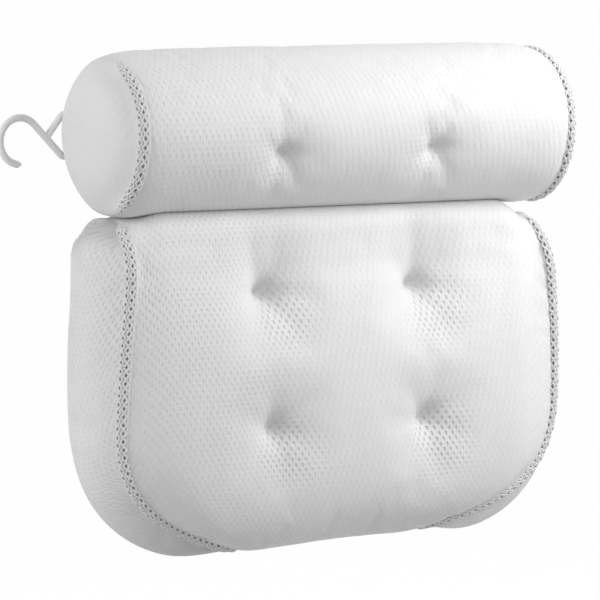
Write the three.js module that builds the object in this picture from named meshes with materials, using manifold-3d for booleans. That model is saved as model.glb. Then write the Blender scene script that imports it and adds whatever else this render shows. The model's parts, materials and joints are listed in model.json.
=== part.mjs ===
// Bath pillow: a stuffed neck roll and a stuffed back panel of white air-mesh, joined by a fabric hinge.
// Suction cups hold it to the wall of the tub, and a plastic hook hangs it up to dry.
// Millimetres. X runs along the roll, Y points into the wall, Z is up.
// The origin is on the wall, midway along the roll, at the height of the hinge.
import * as THREE from 'three';
import { mergeVertices } from 'three/addons/utils/BufferGeometryUtils.js';
import Module from 'manifold-3d';

// Clearances
const GAP = 0.3;
const FILL_ROOM = 0.6;

// Fabric, thread and webbing
const MESH_THICKNESS = 4;
const TRIM_RADIUS = 3.2;
const TRIM_PROUD = 0.8;
const STRIP_THICKNESS = 1.6;
const STRIP_LENGTH = 330;
const WEBBING_THICKNESS = 1.2;
const WEBBING_TAIL = 30;
const THREAD_RADIUS = 0.8;
const KNOT_RADIUS = 1.8;
const KNOT_LENGTH = 1.5;

// Neck roll
const ROLL_LENGTH = 380;
const ROLL_SEAM_RADIUS = 54;
const ROLL_CROWN = 5.7;
const ROLL_CROWN_POWER = 14;
const ROLL_CAP_BULGE = 20;
const ROLL_CAP_POWER = 3;
const ROLL_TUFT_X = 68;
const ROLL_TUFT_TILT = 19;
const ROLL_TUFT_DEPTH = 19;
const ROLL_TUFT_SPREAD = 46;
const ROLL_CUP_INSET = 85;

// Back panel
const HINGE_GAP = 2.4;
const PANEL_HEIGHT = 243;
const PANEL_TOP_WIDTH = 368;
const PANEL_SIDE_BOW = 10;
const PANEL_CORNER_HEIGHT = 93;
const PANEL_CORNER_DROP = 65;
const PANEL_TIP_X = 85;
const PANEL_TIP_REACH = 62;
const PANEL_TIP_RISE = 16;
const PANEL_SHOULDER_DROP = 8;
const PANEL_BOTTOM_BOW = 3;
const PANEL_SEAM_DEPTH = 84;
const PANEL_REAR_ROUND = 2.5;
const PANEL_REAR_INSET = 6;
const PANEL_REAR_INSET_RUN = 60;
const PANEL_TOP_ROUND = 42;
const PANEL_REAR_TOP_ROUND = 22;
const PANEL_BOTTOM_SET = 16;
const PANEL_FRONT_BULGE = 40;
const PANEL_FRONT_SWELL = 6;
const PANEL_REAR_FULLNESS = 1.15;
const PANEL_BULGE_POWER = 2.6;
const LEVEL_MARGIN = 20;
const LEVEL_SHARE = 0.72;
const PANEL_TUFT_X = 68;
const UPPER_TUFT_DROP = 57;
const UPPER_TUFT_DEPTH = 32;
const LOWER_TUFT_DROP = 155;
const LOWER_TUFT_DEPTH = 23;
const PANEL_TUFT_SPREAD = 52;
const PANEL_CUP_INSET = 89;
const UPPER_CUP_DROP = 68.8;
const LOWER_CUP_DROP = 161.8;
const GUSSET_BULGE = 18;
const GUSSET_CORNER_BULGE = 28;
const GUSSET_CORNER_FULL = 0.78;
const GUSSET_TAPER = 2.6;
const GUSSET_SWEEP = 4;
const GUSSET_TIP_WIDTH = 3;
const TRIM_END = 8;

// Suction cup and its eyelet
const CUP_RADIUS = 27;
const CUP_LAND = 4;
const CUP_LIP = 1;
const CUP_HOLLOW = 6.5;
const CUP_BACK = 9;
const CUP_SHOULDER_RADIUS = 7;
const CUP_NECK_RADIUS = 4;
const CUP_HEAD_RADIUS = 8;
const CUP_HEAD = 4;
const CUP_HEAD_CROWN = 0.6;
const CUP_TRAVEL = 3;
const EYELET_RADIUS = 11;
const EYELET_FLANGE = 1.2;
const EYELET_WALL = 1.8;
const POCKET_ROOM = 1;

// Hanging hook
const HOOK_WIRE_RADIUS = 2.6;
const HOOK_BEND_RADIUS = 16.9;
const HOOK_TIP_ANGLE = 272;
const HOOK_SHAFT_TILT = 45;
const HOOK_SHAFT_LENGTH = 32;
const HOOK_ARM_JOIN = 14.6;
const HOOK_EYE_HEIGHT = 22;
const HOOK_CORNER_RADIUS = 4;
const HOOK_BAR_INSET = 6.4;
const HOOK_DROP = 3.8;
const LOOP_SIDE_ROOM = 2;

// Facets
const ROUND_SIDES = 16;
const CUP_DOME_STEPS = [[0.35, 0.22], [0.7, 0.58]];
const CUP_HOLLOW_STEPS = [1, 0.66, 0.33, 0];
const EYELET_SIDES = 12;
const ROLL_SIDES = 24;
const CAP_STEPS = [0, 0.45, 0.8, 1];
const PANEL_ROWS = 18;
const ROW_CROWDING = 1.5;
const COLUMN_STEPS = [0, 0.16, 0.3, 0.4, 0.48, 0.6, 0.76, 0.92, 1];
const TUFT_STEP = 0.4;
const ROW_TOLERANCE = 1e-6;
const SLOPE_SPAN = 0.01;
const GUSSET_STEPS = [-1, -0.55, 0, 0.55, 1];
const TRIM_SIDES = 6;
const PANEL_TRIM_STEPS = 48;
const THREAD_SIDES = 6;
const HOOK_SIDES = 8;
const HOOK_STEPS = 40;

// Places that follow from the sizes
const eyeletBarrel = CUP_NECK_RADIUS + GAP + EYELET_WALL;
const eyeletOuter = CUP_BACK + CUP_TRAVEL + GAP;
const rearY = -(eyeletOuter + EYELET_FLANGE + GAP);
const eyeletInner = -rearY + MESH_THICKNESS + GAP;
const cupHead = eyeletInner + EYELET_FLANGE + GAP;
const pocketFloor = cupHead + CUP_HEAD + CUP_TRAVEL + GAP;

const rollY = rearY - ROLL_SEAM_RADIUS;
const rollZ = HINGE_GAP / 2 + ROLL_SEAM_RADIUS + ROLL_CROWN;
const rollEnd = ROLL_LENGTH / 2;
const coverInset = TRIM_RADIUS + GAP - TRIM_PROUD;
const capRadius = ROLL_SEAM_RADIUS - MESH_THICKNESS - GAP;
const rollTrimRadius = capRadius + GAP + TRIM_RADIUS;

const panelTop = -HINGE_GAP / 2;
const panelHalfWidth = PANEL_TOP_WIDTH / 2 + PANEL_SIDE_BOW;
const tipZ = panelTop - PANEL_HEIGHT + PANEL_BOTTOM_BOW;
const cornerZ = tipZ + PANEL_CORNER_HEIGHT;
const shoulderZ = panelTop - PANEL_SHOULDER_DROP;
const sideLength = shoulderZ - cornerZ;
const corner = new THREE.CubicBezierCurve(
  new THREE.Vector2(panelHalfWidth, cornerZ),
  new THREE.Vector2(panelHalfWidth, cornerZ - PANEL_CORNER_DROP),
  new THREE.Vector2(PANEL_TIP_X + PANEL_TIP_REACH, tipZ + PANEL_TIP_RISE),
  new THREE.Vector2(PANEL_TIP_X, tipZ),
);
const outlineLength = sideLength + corner.getLength();
const seamMidY = rearY - PANEL_REAR_ROUND - PANEL_SEAM_DEPTH / 2;
const bottomY = seamMidY - PANEL_BOTTOM_SET;
const hingeY = seamMidY;
const hingeReach = Math.hypot(rollY - hingeY, rollZ) - ROLL_SEAM_RADIUS - ROLL_CROWN;
const topSplit = STRIP_THICKNESS / 2 + GAP;
const gussetInset = MESH_THICKNESS + 2 * GAP;
const trimSink = gussetInset - TRIM_RADIUS - 2 * GAP;
const tipHalf = trimSink + TRIM_RADIUS + GAP;
const fillInset = MESH_THICKNESS + FILL_ROOM;
const panelCupX = panelHalfWidth - PANEL_CUP_INSET;
const flatHalfWidth = panelCupX + EYELET_RADIUS + LEVEL_MARGIN;

// The two sides, and the two levels of tufts and cups on the panel
const HANDS = [['left', -1], ['right', 1]];
const LEVELS = [
  { level: 'upper', tuftDrop: UPPER_TUFT_DROP, tuftDepth: UPPER_TUFT_DEPTH, cupDrop: UPPER_CUP_DROP },
  { level: 'lower', tuftDrop: LOWER_TUFT_DROP, tuftDepth: LOWER_TUFT_DEPTH, cupDrop: LOWER_CUP_DROP },
];

const { lerp, clamp, degToRad, smoothstep } = THREE.MathUtils;
const wasm = await Module();
wasm.setup();

// Makes a closed geometry of points and corner numbers, with its faces turned outwards.
function closedGeometry(points, triangles) {
  let volume = 0;
  for (const [a, b, c] of triangles) {
    const normal = new THREE.Vector3().crossVectors(points[b], points[c]);
    volume += points[a].dot(normal);
  }
  const faces = volume > 0 ? triangles : triangles.map(([a, b, c]) => [a, c, b]);
  const geometry = new THREE.BufferGeometry().setFromPoints(points);
  geometry.setIndex(faces.flat());
  geometry.computeVertexNormals();
  return geometry;
}

// Makes a solid between two grids of points of the same shape; wraps joins the last column to the first.
function between(outer, inner, wraps = false) {
  const rows = outer.length;
  const columns = outer[0].length;
  const first = rows * columns;
  const at = (i, j) => i * columns + (j % columns);
  const triangles = [];
  const quad = (a, b, c, d) => triangles.push([a, b, c], [a, c, d]);
  const lastColumn = wraps ? columns : columns - 1;
  for (let i = 0; i < rows - 1; i++) {
    for (let j = 0; j < lastColumn; j++) {
      quad(at(i, j), at(i, j + 1), at(i + 1, j + 1), at(i + 1, j));
      quad(first + at(i, j), first + at(i + 1, j), first + at(i + 1, j + 1), first + at(i, j + 1));
    }
  }
  for (let j = 0; j < lastColumn; j++) {
    quad(at(0, j), first + at(0, j), first + at(0, j + 1), at(0, j + 1));
    quad(at(rows - 1, j), at(rows - 1, j + 1), first + at(rows - 1, j + 1), first + at(rows - 1, j));
  }
  if (!wraps) {
    for (let i = 0; i < rows - 1; i++) {
      quad(at(i, 0), at(i + 1, 0), first + at(i + 1, 0), first + at(i, 0));
      const from = at(i, lastColumn);
      const to = at(i + 1, lastColumn);
      quad(from, first + from, first + to, to);
    }
  }
  return closedGeometry([...outer.flat(), ...inner.flat()], triangles);
}

// Makes a solid of a stack of rings with a middle point closing each end.
function plug(rings, start, end) {
  const sides = rings[0].length;
  const points = [...rings.flat(), start, end];
  const startAt = points.length - 2;
  const triangles = [];
  for (let j = 0; j < sides; j++) {
    const next = (j + 1) % sides;
    for (let i = 0; i < rings.length - 1; i++) {
      const row = i * sides;
      const over = row + sides;
      triangles.push([row + j, row + next, over + next], [row + j, over + next, over + j]);
    }
    const last = (rings.length - 1) * sides;
    triangles.push([startAt, next, j], [startAt + 1, last + j, last + next]);
  }
  return closedGeometry(points, triangles);
}

// Moves a grid inwards along its normals; face is -1 where the surface looks forwards, 1 where it looks back.
function inset(grid, distance, face, wraps = false) {
  const rows = grid.length;
  const columns = grid[0].length;
  return grid.map((row, i) => row.map((point, j) => {
    const before = wraps ? (j + columns - 1) % columns : Math.max(0, j - 1);
    const after = wraps ? (j + 1) % columns : Math.min(columns - 1, j + 1);
    const down = grid[Math.min(rows - 1, i + 1)][j].clone().sub(grid[Math.max(0, i - 1)][j]);
    const across = row[after].clone().sub(row[before]);
    const outwards = across.cross(down).normalize().multiplyScalar(face);
    return point.clone().addScaledVector(outwards, -distance);
  }));
}

function solid(geometry) {
  const bare = geometry.clone();
  bare.deleteAttribute('normal');
  bare.deleteAttribute('uv');
  const merged = mergeVertices(bare);
  const vertProperties = merged.attributes.position.array;
  const triVerts = new Uint32Array(merged.index.array);
  return new wasm.Manifold(new wasm.Mesh({ numProp: 3, vertProperties, triVerts }));
}

function geometryOf(body) {
  const { vertProperties, triVerts } = body.getMesh();
  const geometry = new THREE.BufferGeometry();
  geometry.setAttribute('position', new THREE.BufferAttribute(vertProperties, 3));
  geometry.setIndex(new THREE.BufferAttribute(triVerts, 1));
  geometry.computeVertexNormals();
  return geometry;
}

function cut(geometry, tools) {
  const body = tools.reduce((left, tool) => left.subtract(solid(tool)), solid(geometry));
  return geometryOf(body);
}

function joined(geometries) {
  const [first, ...others] = geometries.map(solid);
  return geometryOf(others.reduce((sum, other) => sum.add(other), first));
}

// Makes a round drill along Y from one depth to another.
function drill(radius, x, z, fromY, toY, sides) {
  const tool = new THREE.CylinderGeometry(radius, radius, toY - fromY, sides);
  return tool.translate(x, (fromY + toY) / 2, z);
}

function circleShape(radius, sides) {
  const points = [];
  for (let i = 0; i < sides; i++) {
    const angle = i / sides * 2 * Math.PI;
    points.push(new THREE.Vector2(radius * Math.cos(angle), radius * Math.sin(angle)));
  }
  return new THREE.Shape(points);
}

function tube(points, radius, sides, steps) {
  const extrudePath = new THREE.CatmullRomCurve3(points);
  return new THREE.ExtrudeGeometry(circleShape(radius, sides), { extrudePath, steps });
}

function lathe(profile, sides) {
  return new THREE.LatheGeometry(profile.map(([r, y]) => new THREE.Vector2(r, y)), sides);
}

// How far a sewn tuft draws the cover in, at a distance from its thread.
function tuftDraw(distance, depth, spread) {
  return depth * Math.max(0, 1 - distance / spread) ** 2;
}

// Columns run from left to right, with one on each row of tufts.
const columns = [...COLUMN_STEPS.slice(1).reverse().map((step) => -step), ...COLUMN_STEPS];

function columnX(step, tuftX, halfWidth) {
  const size = Math.abs(step);
  const inner = tuftX * size / TUFT_STEP;
  const outer = lerp(tuftX, halfWidth, (size - TUFT_STEP) / (1 - TUFT_STEP));
  return Math.sign(step) * (size < TUFT_STEP ? inner : outer);
}

// Neck roll
const rollTuftAngle = Math.PI + degToRad(ROLL_TUFT_TILT);

function rollRadius(x) {
  return ROLL_SEAM_RADIUS + ROLL_CROWN * (1 - Math.abs(x / rollEnd) ** ROLL_CROWN_POWER);
}

// A point of the roll's cover; angle 0 is the back, a quarter turn the top. The back is flattened.
function rollPoint(x, angle) {
  const turn = ROLL_SEAM_RADIUS * (angle - rollTuftAngle);
  const distance = Math.hypot(Math.abs(x) - ROLL_TUFT_X, turn);
  const radius = rollRadius(x) - tuftDraw(distance, ROLL_TUFT_DEPTH, ROLL_TUFT_SPREAD);
  const y = rollY + Math.min(radius * Math.cos(angle), ROLL_SEAM_RADIUS);
  return new THREE.Vector3(x, y, rollZ + radius * Math.sin(angle));
}

// Rings of the roll from end to end, with one side of each ring on the tufts.
function rollRings(halfLength) {
  return columns.map((step) => {
    const x = columnX(step, ROLL_TUFT_X, halfLength);
    const ring = [];
    for (let side = 0; side < ROLL_SIDES; side++) {
      const offset = (side - ROLL_SIDES / 2) / ROLL_SIDES * 2 * Math.PI;
      ring.push(rollPoint(x, rollTuftAngle + offset));
    }
    return ring;
  });
}

function capHeight(r) {
  return rollEnd + ROLL_CAP_BULGE * (1 - (r / capRadius) ** ROLL_CAP_POWER);
}

function rollEndCap() {
  const radii = CAP_STEPS.map((share) => share * capRadius);
  const inner = radii.map((r) => [r, capHeight(r) - MESH_THICKNESS]);
  const outer = radii.map((r) => [r, capHeight(r)]);
  return lathe([...inner, ...outer.reverse()], ROLL_SIDES);
}

function rollTrim() {
  const centre = rollEnd - coverInset + GAP + TRIM_RADIUS;
  const profile = [];
  for (let i = 0; i <= TRIM_SIDES; i++) {
    const angle = i / TRIM_SIDES * 2 * Math.PI;
    profile.push([rollTrimRadius + TRIM_RADIUS * Math.cos(angle), centre + TRIM_RADIUS * Math.sin(angle)]);
  }
  profile[TRIM_SIDES] = profile[0];
  return lathe(profile, ROLL_SIDES);
}

function rollFilling() {
  const halfLength = rollEnd - MESH_THICKNESS - FILL_ROOM;
  const rings = inset(rollRings(halfLength), fillInset, 1, true);
  const domeX = capHeight(0) - fillInset;
  return plug(rings, new THREE.Vector3(-domeX, rollY, rollZ), new THREE.Vector3(domeX, rollY, rollZ));
}

// Back panel. The outline runs from the shoulder down the side and round the corner to the gusset's tip.
function outline(s) {
  if (s < sideLength) {
    const share = s / sideLength;
    const x = PANEL_TOP_WIDTH / 2 + PANEL_SIDE_BOW * Math.sin(share * Math.PI / 2);
    const lean = PANEL_SIDE_BOW * Math.cos(share * Math.PI / 2) * Math.PI / 2 / sideLength;
    const length = Math.hypot(1, lean);
    return { x, z: shoulderZ - s, nx: 1 / length, nz: lean / length };
  }
  const share = Math.min(1, (s - sideLength) / (outlineLength - sideLength));
  const point = corner.getPointAt(share);
  const tangent = corner.getTangentAt(share);
  return { x: point.x, z: point.y, nx: -tangent.y, nz: tangent.x };
}

// How far the gusset reaches from its middle line to its seam with one cover, less a margin all round.
function gussetReach(s, margin, face) {
  const full = lerp(PANEL_SEAM_DEPTH / 2, tipHalf, (s / outlineLength) ** GUSSET_TAPER) - margin;
  const round = face < 0 ? PANEL_TOP_ROUND : PANEL_REAR_TOP_ROUND;
  const climb = clamp((s - margin) / (round - margin), 0, 1);
  return full * Math.sqrt(1 - (1 - climb) ** 2);
}

function gussetMid(s) {
  return lerp(seamMidY, bottomY, (s / outlineLength) ** GUSSET_SWEEP);
}

function seamY(s, face) {
  return gussetMid(s) + face * Math.max(topSplit, gussetReach(s, 0, face));
}

// How far the rear seam is drawn in from the front seam's outline, growing from the top and gone at the tip.
function rearInset(s) {
  return PANEL_REAR_INSET * smoothstep(s, 0, PANEL_REAR_INSET_RUN) * (1 - (s / outlineLength) ** GUSSET_SWEEP);
}

function bulge(down) {
  return Math.sqrt(1 - Math.abs(2 * down - 1) ** PANEL_BULGE_POWER);
}

// Depth of the panel's middle line, from the hinge seam at 0 down to the bottom seam at 1.
function middleY(down, face) {
  const spine = lerp(hingeY + face * topSplit, bottomY + face * GAP / 2, down);
  if (face < 0) {
    return spine - PANEL_FRONT_BULGE * bulge(down);
  }
  return Math.min(rearY, spine + PANEL_REAR_FULLNESS * (rearY - bottomY) * bulge(down));
}

function panelPoint(s, step, face, margin) {
  const edge = outline(s);
  const drawnIn = face < 0 ? margin : margin + rearInset(s);
  const halfWidth = edge.x - drawnIn * edge.nx;
  const x = columnX(step, PANEL_TUFT_X, halfWidth);
  const down = (shoulderZ - edge.z) / (shoulderZ - tipZ);
  const flat = Math.min(flatHalfWidth, LEVEL_SHARE * halfWidth);
  const side = Math.max(0, (Math.abs(x) - flat) / (halfWidth - flat)) ** 2;
  const z = lerp(panelTop - PANEL_HEIGHT * down, edge.z - drawnIn * edge.nz, side);
  let y = lerp(middleY(down, face), seamY(s, face), side);
  if (face < 0) {
    y -= PANEL_FRONT_SWELL * (1 - (x / halfWidth) ** 2) * bulge(down);
    for (const { tuftDrop, tuftDepth } of LEVELS) {
      const distance = Math.hypot(Math.abs(x) - PANEL_TUFT_X, z - panelTop + tuftDrop);
      y += tuftDraw(distance, tuftDepth, PANEL_TUFT_SPREAD);
    }
  }
  return new THREE.Vector3(x, y, z);
}

// The place along the outline whose row of the cover lies at a drop below the panel's top.
function rowAt(drop) {
  const z = shoulderZ - drop / PANEL_HEIGHT * (shoulderZ - tipZ);
  let low = 0;
  let high = outlineLength;
  while (high - low > ROW_TOLERANCE) {
    const middle = (low + high) / 2;
    if (outline(middle).z > z) {
      low = middle;
    } else {
      high = middle;
    }
  }
  return low;
}

// Rows of the panel from top to bottom, closer near the top, with one on each row of tufts.
const panelRows = [];
for (let i = 0; i <= PANEL_ROWS; i++) {
  panelRows.push(outlineLength * (i / PANEL_ROWS) ** ROW_CROWDING);
}
for (const tuftRow of LEVELS.map(({ tuftDrop }) => rowAt(tuftDrop))) {
  const gaps = panelRows.map((row) => Math.abs(row - tuftRow));
  panelRows[gaps.indexOf(Math.min(...gaps))] = tuftRow;
}

function panelGrid(rows, face, margin) {
  return rows.map((s) => columns.map((step) => panelPoint(s, step, face, margin)));
}

// A cover of the panel, its top and bottom edges cut square to meet the other cover.
function panelCover(face) {
  const outer = panelGrid(panelRows, face, coverInset);
  const inner = inset(outer, MESH_THICKNESS, face);
  for (const row of [0, PANEL_ROWS]) {
    inner[row].forEach((point, j) => point.setY(outer[row][j].y));
  }
  return between(outer, inner);
}

function panelFilling() {
  const rows = panelRows.slice(1, -2);
  const margin = fillInset + FILL_ROOM;
  const front = inset(panelGrid(rows, -1, margin), fillInset, -1);
  const rear = inset(panelGrid(rows, 1, margin), fillInset, 1);
  return between(front, rear);
}

// A leaf-shaped side panel, bulging outwards; hand is 1 on the right and -1 on the left.
function panelGusset(hand) {
  const start = gussetInset + GAP;
  const width = PANEL_SEAM_DEPTH / 2 - gussetInset - GUSSET_TIP_WIDTH / 2;
  const end = outlineLength * Math.min(1, (width / (PANEL_SEAM_DEPTH / 2 - tipHalf)) ** (1 / GUSSET_TAPER));
  const rows = panelRows.map((s) => lerp(start, end, s / outlineLength));
  const fullAt = GUSSET_CORNER_FULL * outlineLength;
  const layer = (depth) => rows.map((s) => GUSSET_STEPS.map((step) => {
    const edge = outline(s);
    const reach = gussetReach(s, gussetInset, Math.sign(step));
    const swell = lerp(GUSSET_BULGE, GUSSET_CORNER_BULGE, smoothstep(s, sideLength, fullAt));
    const lean = rearInset(s) * Math.max(0, step);
    const out = swell * (1 - step ** 2) * Math.sqrt(reach * 2 / PANEL_SEAM_DEPTH) - lean - depth;
    const x = edge.x + out * edge.nx;
    return new THREE.Vector3(hand * x, gussetMid(s) + step * reach, edge.z + out * edge.nz);
  }));
  return between(layer(0), layer(MESH_THICKNESS));
}

// A point of the binding's centre line, set into the notch between a cover's edge and the gusset's edge.
function trimPoint(s, face, hand) {
  const low = Math.max(0, s - SLOPE_SPAN);
  const high = s + SLOPE_SPAN;
  const slope = (seamY(high, face) - seamY(low, face)) / (high - low);
  const length = Math.hypot(1, slope);
  const along = s + trimSink * face * slope / length;
  const edge = outline(along);
  const y = seamY(s, face) - trimSink * face / length;
  const out = face < 0 ? TRIM_PROUD : TRIM_PROUD - rearInset(s);
  return new THREE.Vector3(hand * (edge.x + out * edge.nx), y, edge.z + out * edge.nz);
}

// The binding runs from just short of the tip up the front seam, over the top and down the rear seam.
function panelTrim(hand) {
  const rows = panelRows.slice(1).map((s) => s * (1 - TRIM_END / outlineLength));
  const front = rows.map((s) => trimPoint(s, -1, hand)).reverse();
  const rear = rows.map((s) => trimPoint(s, 1, hand));
  const edge = outline(trimSink);
  const top = new THREE.Vector3(hand * (edge.x + TRIM_PROUD), gussetMid(0), edge.z);
  return tube([...front, top, ...rear], TRIM_RADIUS, TRIM_SIDES, PANEL_TRIM_STEPS);
}

// Threads, cups and eyelets. Each thread runs from its tuft straight back to a knot behind the cover.
function tuftTie(frontY, slope) {
  const seat = frontY - GAP - KNOT_RADIUS * slope;
  const rearSeat = rearY + GAP;
  return lathe([
    [0, seat - KNOT_LENGTH],
    [KNOT_RADIUS, seat - KNOT_LENGTH],
    [KNOT_RADIUS, seat],
    [THREAD_RADIUS, seat],
    [THREAD_RADIUS, rearSeat],
    [KNOT_RADIUS, rearSeat],
    [KNOT_RADIUS, rearSeat + KNOT_LENGTH],
    [0, rearSeat + KNOT_LENGTH],
  ], THREAD_SIDES);
}

function suctionCup() {
  const hollowRadius = CUP_RADIUS - CUP_LAND;
  const hollow = CUP_HOLLOW_STEPS.map((share) => [share * hollowRadius, -CUP_HOLLOW * (1 - share ** 2)]);
  return lathe([
    [0, -cupHead - CUP_HEAD],
    [CUP_HEAD_CROWN * CUP_HEAD_RADIUS, -cupHead - CUP_HEAD],
    [CUP_HEAD_RADIUS, -cupHead - CUP_HEAD / 2],
    [CUP_HEAD_RADIUS, -cupHead],
    [CUP_NECK_RADIUS, -cupHead],
    [CUP_NECK_RADIUS, -CUP_BACK],
    [CUP_SHOULDER_RADIUS, -CUP_BACK],
    ...CUP_DOME_STEPS.map(([out, down]) => [
      lerp(CUP_SHOULDER_RADIUS, CUP_RADIUS, out),
      -lerp(CUP_BACK, CUP_LIP, down),
    ]),
    [CUP_RADIUS, -CUP_LIP],
    [CUP_RADIUS, 0],
    ...hollow,
  ], ROUND_SIDES);
}

function eyelet() {
  const bore = CUP_NECK_RADIUS + GAP;
  const seats = [-eyeletInner, rearY + GAP];
  return lathe([
    [bore, -eyeletInner - EYELET_FLANGE],
    [EYELET_RADIUS, -eyeletInner - EYELET_FLANGE],
    [EYELET_RADIUS, seats[0]],
    [eyeletBarrel, seats[0]],
    [eyeletBarrel, seats[1]],
    [EYELET_RADIUS, seats[1]],
    [EYELET_RADIUS, -eyeletOuter],
    [bore, -eyeletOuter],
    [bore, -eyeletInner - EYELET_FLANGE],
  ], EYELET_SIDES);
}

// Holes for the cups in a rear cover, and the pockets behind them in the stuffing.
function cupHoles(places) {
  const radius = eyeletBarrel + GAP;
  return places.map(({ x, z }) => drill(radius, x, z, -eyeletInner - GAP, rearY + GAP, EYELET_SIDES));
}

function cupPockets(places) {
  const radius = EYELET_RADIUS + POCKET_ROOM;
  return places.map(({ x, z }) => drill(radius, x, z, -pocketFloor, rearY, EYELET_SIDES));
}

function threadHoles(places) {
  const front = rollY - 2 * ROLL_SEAM_RADIUS;
  return places.map(({ x, z }) => drill(THREAD_RADIUS + GAP, x, z, front, rearY + GAP, THREAD_SIDES));
}

// Hanging hook, sketched with its eye's bar on the sketch's upright axis, then stood up in X and Z.
const hookY = rollY + rollTrimRadius + TRIM_RADIUS + GAP + HOOK_WIRE_RADIUS;
const hookX = -(rollEnd - HOOK_BAR_INSET);
const hookZ = rollZ - HOOK_DROP;

function arcPoint(centre, radius, angle) {
  return new THREE.Vector2(Math.cos(angle), Math.sin(angle)).multiplyScalar(radius).add(centre);
}

function hangingHook() {
  const tilt = degToRad(HOOK_SHAFT_TILT);
  const along = new THREE.Vector2(Math.cos(tilt), -Math.sin(tilt));
  const low = new THREE.Vector2(-HOOK_CORNER_RADIUS, -HOOK_EYE_HEIGHT / 2);
  const high = new THREE.Vector2(-HOOK_CORNER_RADIUS, HOOK_EYE_HEIGHT / 2);
  const lowAngle = Math.atan2(-Math.cos(tilt), -Math.sin(tilt));
  const shaftEnd = arcPoint(low, HOOK_CORNER_RADIUS, lowAngle);
  const shaftStart = shaftEnd.clone().addScaledVector(along, -HOOK_SHAFT_LENGTH);
  const bendAngle = Math.PI / 2 - tilt;
  const bend = arcPoint(shaftStart, -HOOK_BEND_RADIUS, bendAngle);
  const join = shaftStart.clone().addScaledVector(along, HOOK_ARM_JOIN);
  const toJoin = join.clone().sub(high);
  const armAngle = toJoin.angle() - Math.acos(HOOK_CORNER_RADIUS / toJoin.length());

  const path = new THREE.Path();
  path.absarc(bend.x, bend.y, HOOK_BEND_RADIUS, degToRad(HOOK_TIP_ANGLE), bendAngle, true);
  path.lineTo(shaftEnd.x, shaftEnd.y);
  path.absarc(low.x, low.y, HOOK_CORNER_RADIUS, lowAngle, 0, false);
  path.lineTo(0, high.y);
  path.absarc(high.x, high.y, HOOK_CORNER_RADIUS, 0, armAngle, false);
  const flat = (point) => new THREE.Vector3(point.x, point.y, 0);
  const wire = path.getSpacedPoints(2 * HOOK_STEPS).map(flat);
  const arm = [arcPoint(high, HOOK_CORNER_RADIUS, armAngle), join].map(flat);
  const tip = new THREE.SphereGeometry(HOOK_WIRE_RADIUS, HOOK_SIDES, HOOK_SIDES / 2);
  const knuckle = tip.clone();
  tip.translate(wire[0].x, wire[0].y, 0);
  knuckle.translate(arm[0].x, arm[0].y, 0);
  const pieces = [
    tube(wire, HOOK_WIRE_RADIUS, HOOK_SIDES, HOOK_STEPS),
    tube(arm, HOOK_WIRE_RADIUS, HOOK_SIDES, 1),
    tip,
    knuckle,
  ];
  return joined(pieces).rotateX(Math.PI / 2);
}

// Webbing that wraps the hook's bar, its two ends sewn flat to the back of the roll.
function hookLoop() {
  const bore = HOOK_WIRE_RADIUS + GAP;
  const outer = bore + WEBBING_THICKNESS;
  const width = HOOK_EYE_HEIGHT - 2 * LOOP_SIDE_ROOM;
  const tailLow = rearY + GAP - hookY;
  const tailHigh = tailLow + 2 * WEBBING_THICKNESS;
  const wrap = new THREE.CylinderGeometry(outer, outer, width, ROUND_SIDES).rotateX(Math.PI / 2);
  const tail = new THREE.Shape([
    new THREE.Vector2(0, -outer / 2),
    new THREE.Vector2(2 * outer, tailLow),
    new THREE.Vector2(WEBBING_TAIL, tailLow),
    new THREE.Vector2(WEBBING_TAIL, tailHigh),
    new THREE.Vector2(2 * outer, tailHigh),
    new THREE.Vector2(0, outer / 2),
  ]);
  const strap = new THREE.ExtrudeGeometry(tail, { depth: width, bevelEnabled: false });
  strap.translate(0, 0, -width / 2);
  const hole = new THREE.CylinderGeometry(bore, bore, 2 * width, ROUND_SIDES).rotateX(Math.PI / 2);
  return cut(joined([wrap, strap]), [hole]);
}

// Assembly
const airMesh = new THREE.MeshStandardMaterial({ color: 0xeceae7, roughness: 0.95 });
const binding = new THREE.MeshStandardMaterial({ color: 0xf0efec, roughness: 0.9 });
const fibre = new THREE.MeshStandardMaterial({ color: 0xf6f4ee, roughness: 1 });
const webbing = new THREE.MeshStandardMaterial({ color: 0xe9e8e4, roughness: 0.9 });
const thread = new THREE.MeshStandardMaterial({ color: 0xdddcd8, roughness: 0.8 });
const hookPlastic = new THREE.MeshStandardMaterial({ color: 0xf1f1ee, roughness: 0.35 });
const eyeletPlastic = new THREE.MeshStandardMaterial({ color: 0xe8e8e5, roughness: 0.5 });
const cupRubber = new THREE.MeshStandardMaterial({ color: 0xdfe5e8, roughness: 0.25 });

const pillow = new THREE.Group();
const panel = new THREE.Group();
const roll = new THREE.Group();
pillow.add(panel, roll);

function add(group, name, geometry, material) {
  const mesh = new THREE.Mesh(geometry, material);
  mesh.name = name;
  group.add(mesh);
  return mesh;
}

// Places of the cups and threads on each cushion
const rollCupX = rollEnd - ROLL_CUP_INSET;
const rollCups = HANDS.map(([name, hand]) => ({ name, x: hand * rollCupX, z: rollZ }));
const rollTies = HANDS.map(([name, hand]) => {
  const { x, y, z } = rollPoint(hand * ROLL_TUFT_X, rollTuftAngle);
  const slope = 2 * ROLL_TUFT_DEPTH / ROLL_TUFT_SPREAD + Math.tan(degToRad(ROLL_TUFT_TILT));
  return { name, x, y, z, slope };
});
const panelCups = [];
const panelTies = [];
for (const { level, tuftDrop, tuftDepth, cupDrop } of LEVELS) {
  for (const [side, hand] of HANDS) {
    const name = `${level}_${side}`;
    panelCups.push({ name, x: hand * panelCupX, z: panelTop - cupDrop });
    const { x, y, z } = panelPoint(rowAt(tuftDrop), hand * TUFT_STEP, -1, coverInset);
    panelTies.push({ name, x, y, z, slope: 2 * tuftDepth / PANEL_TUFT_SPREAD });
  }
}

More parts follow.
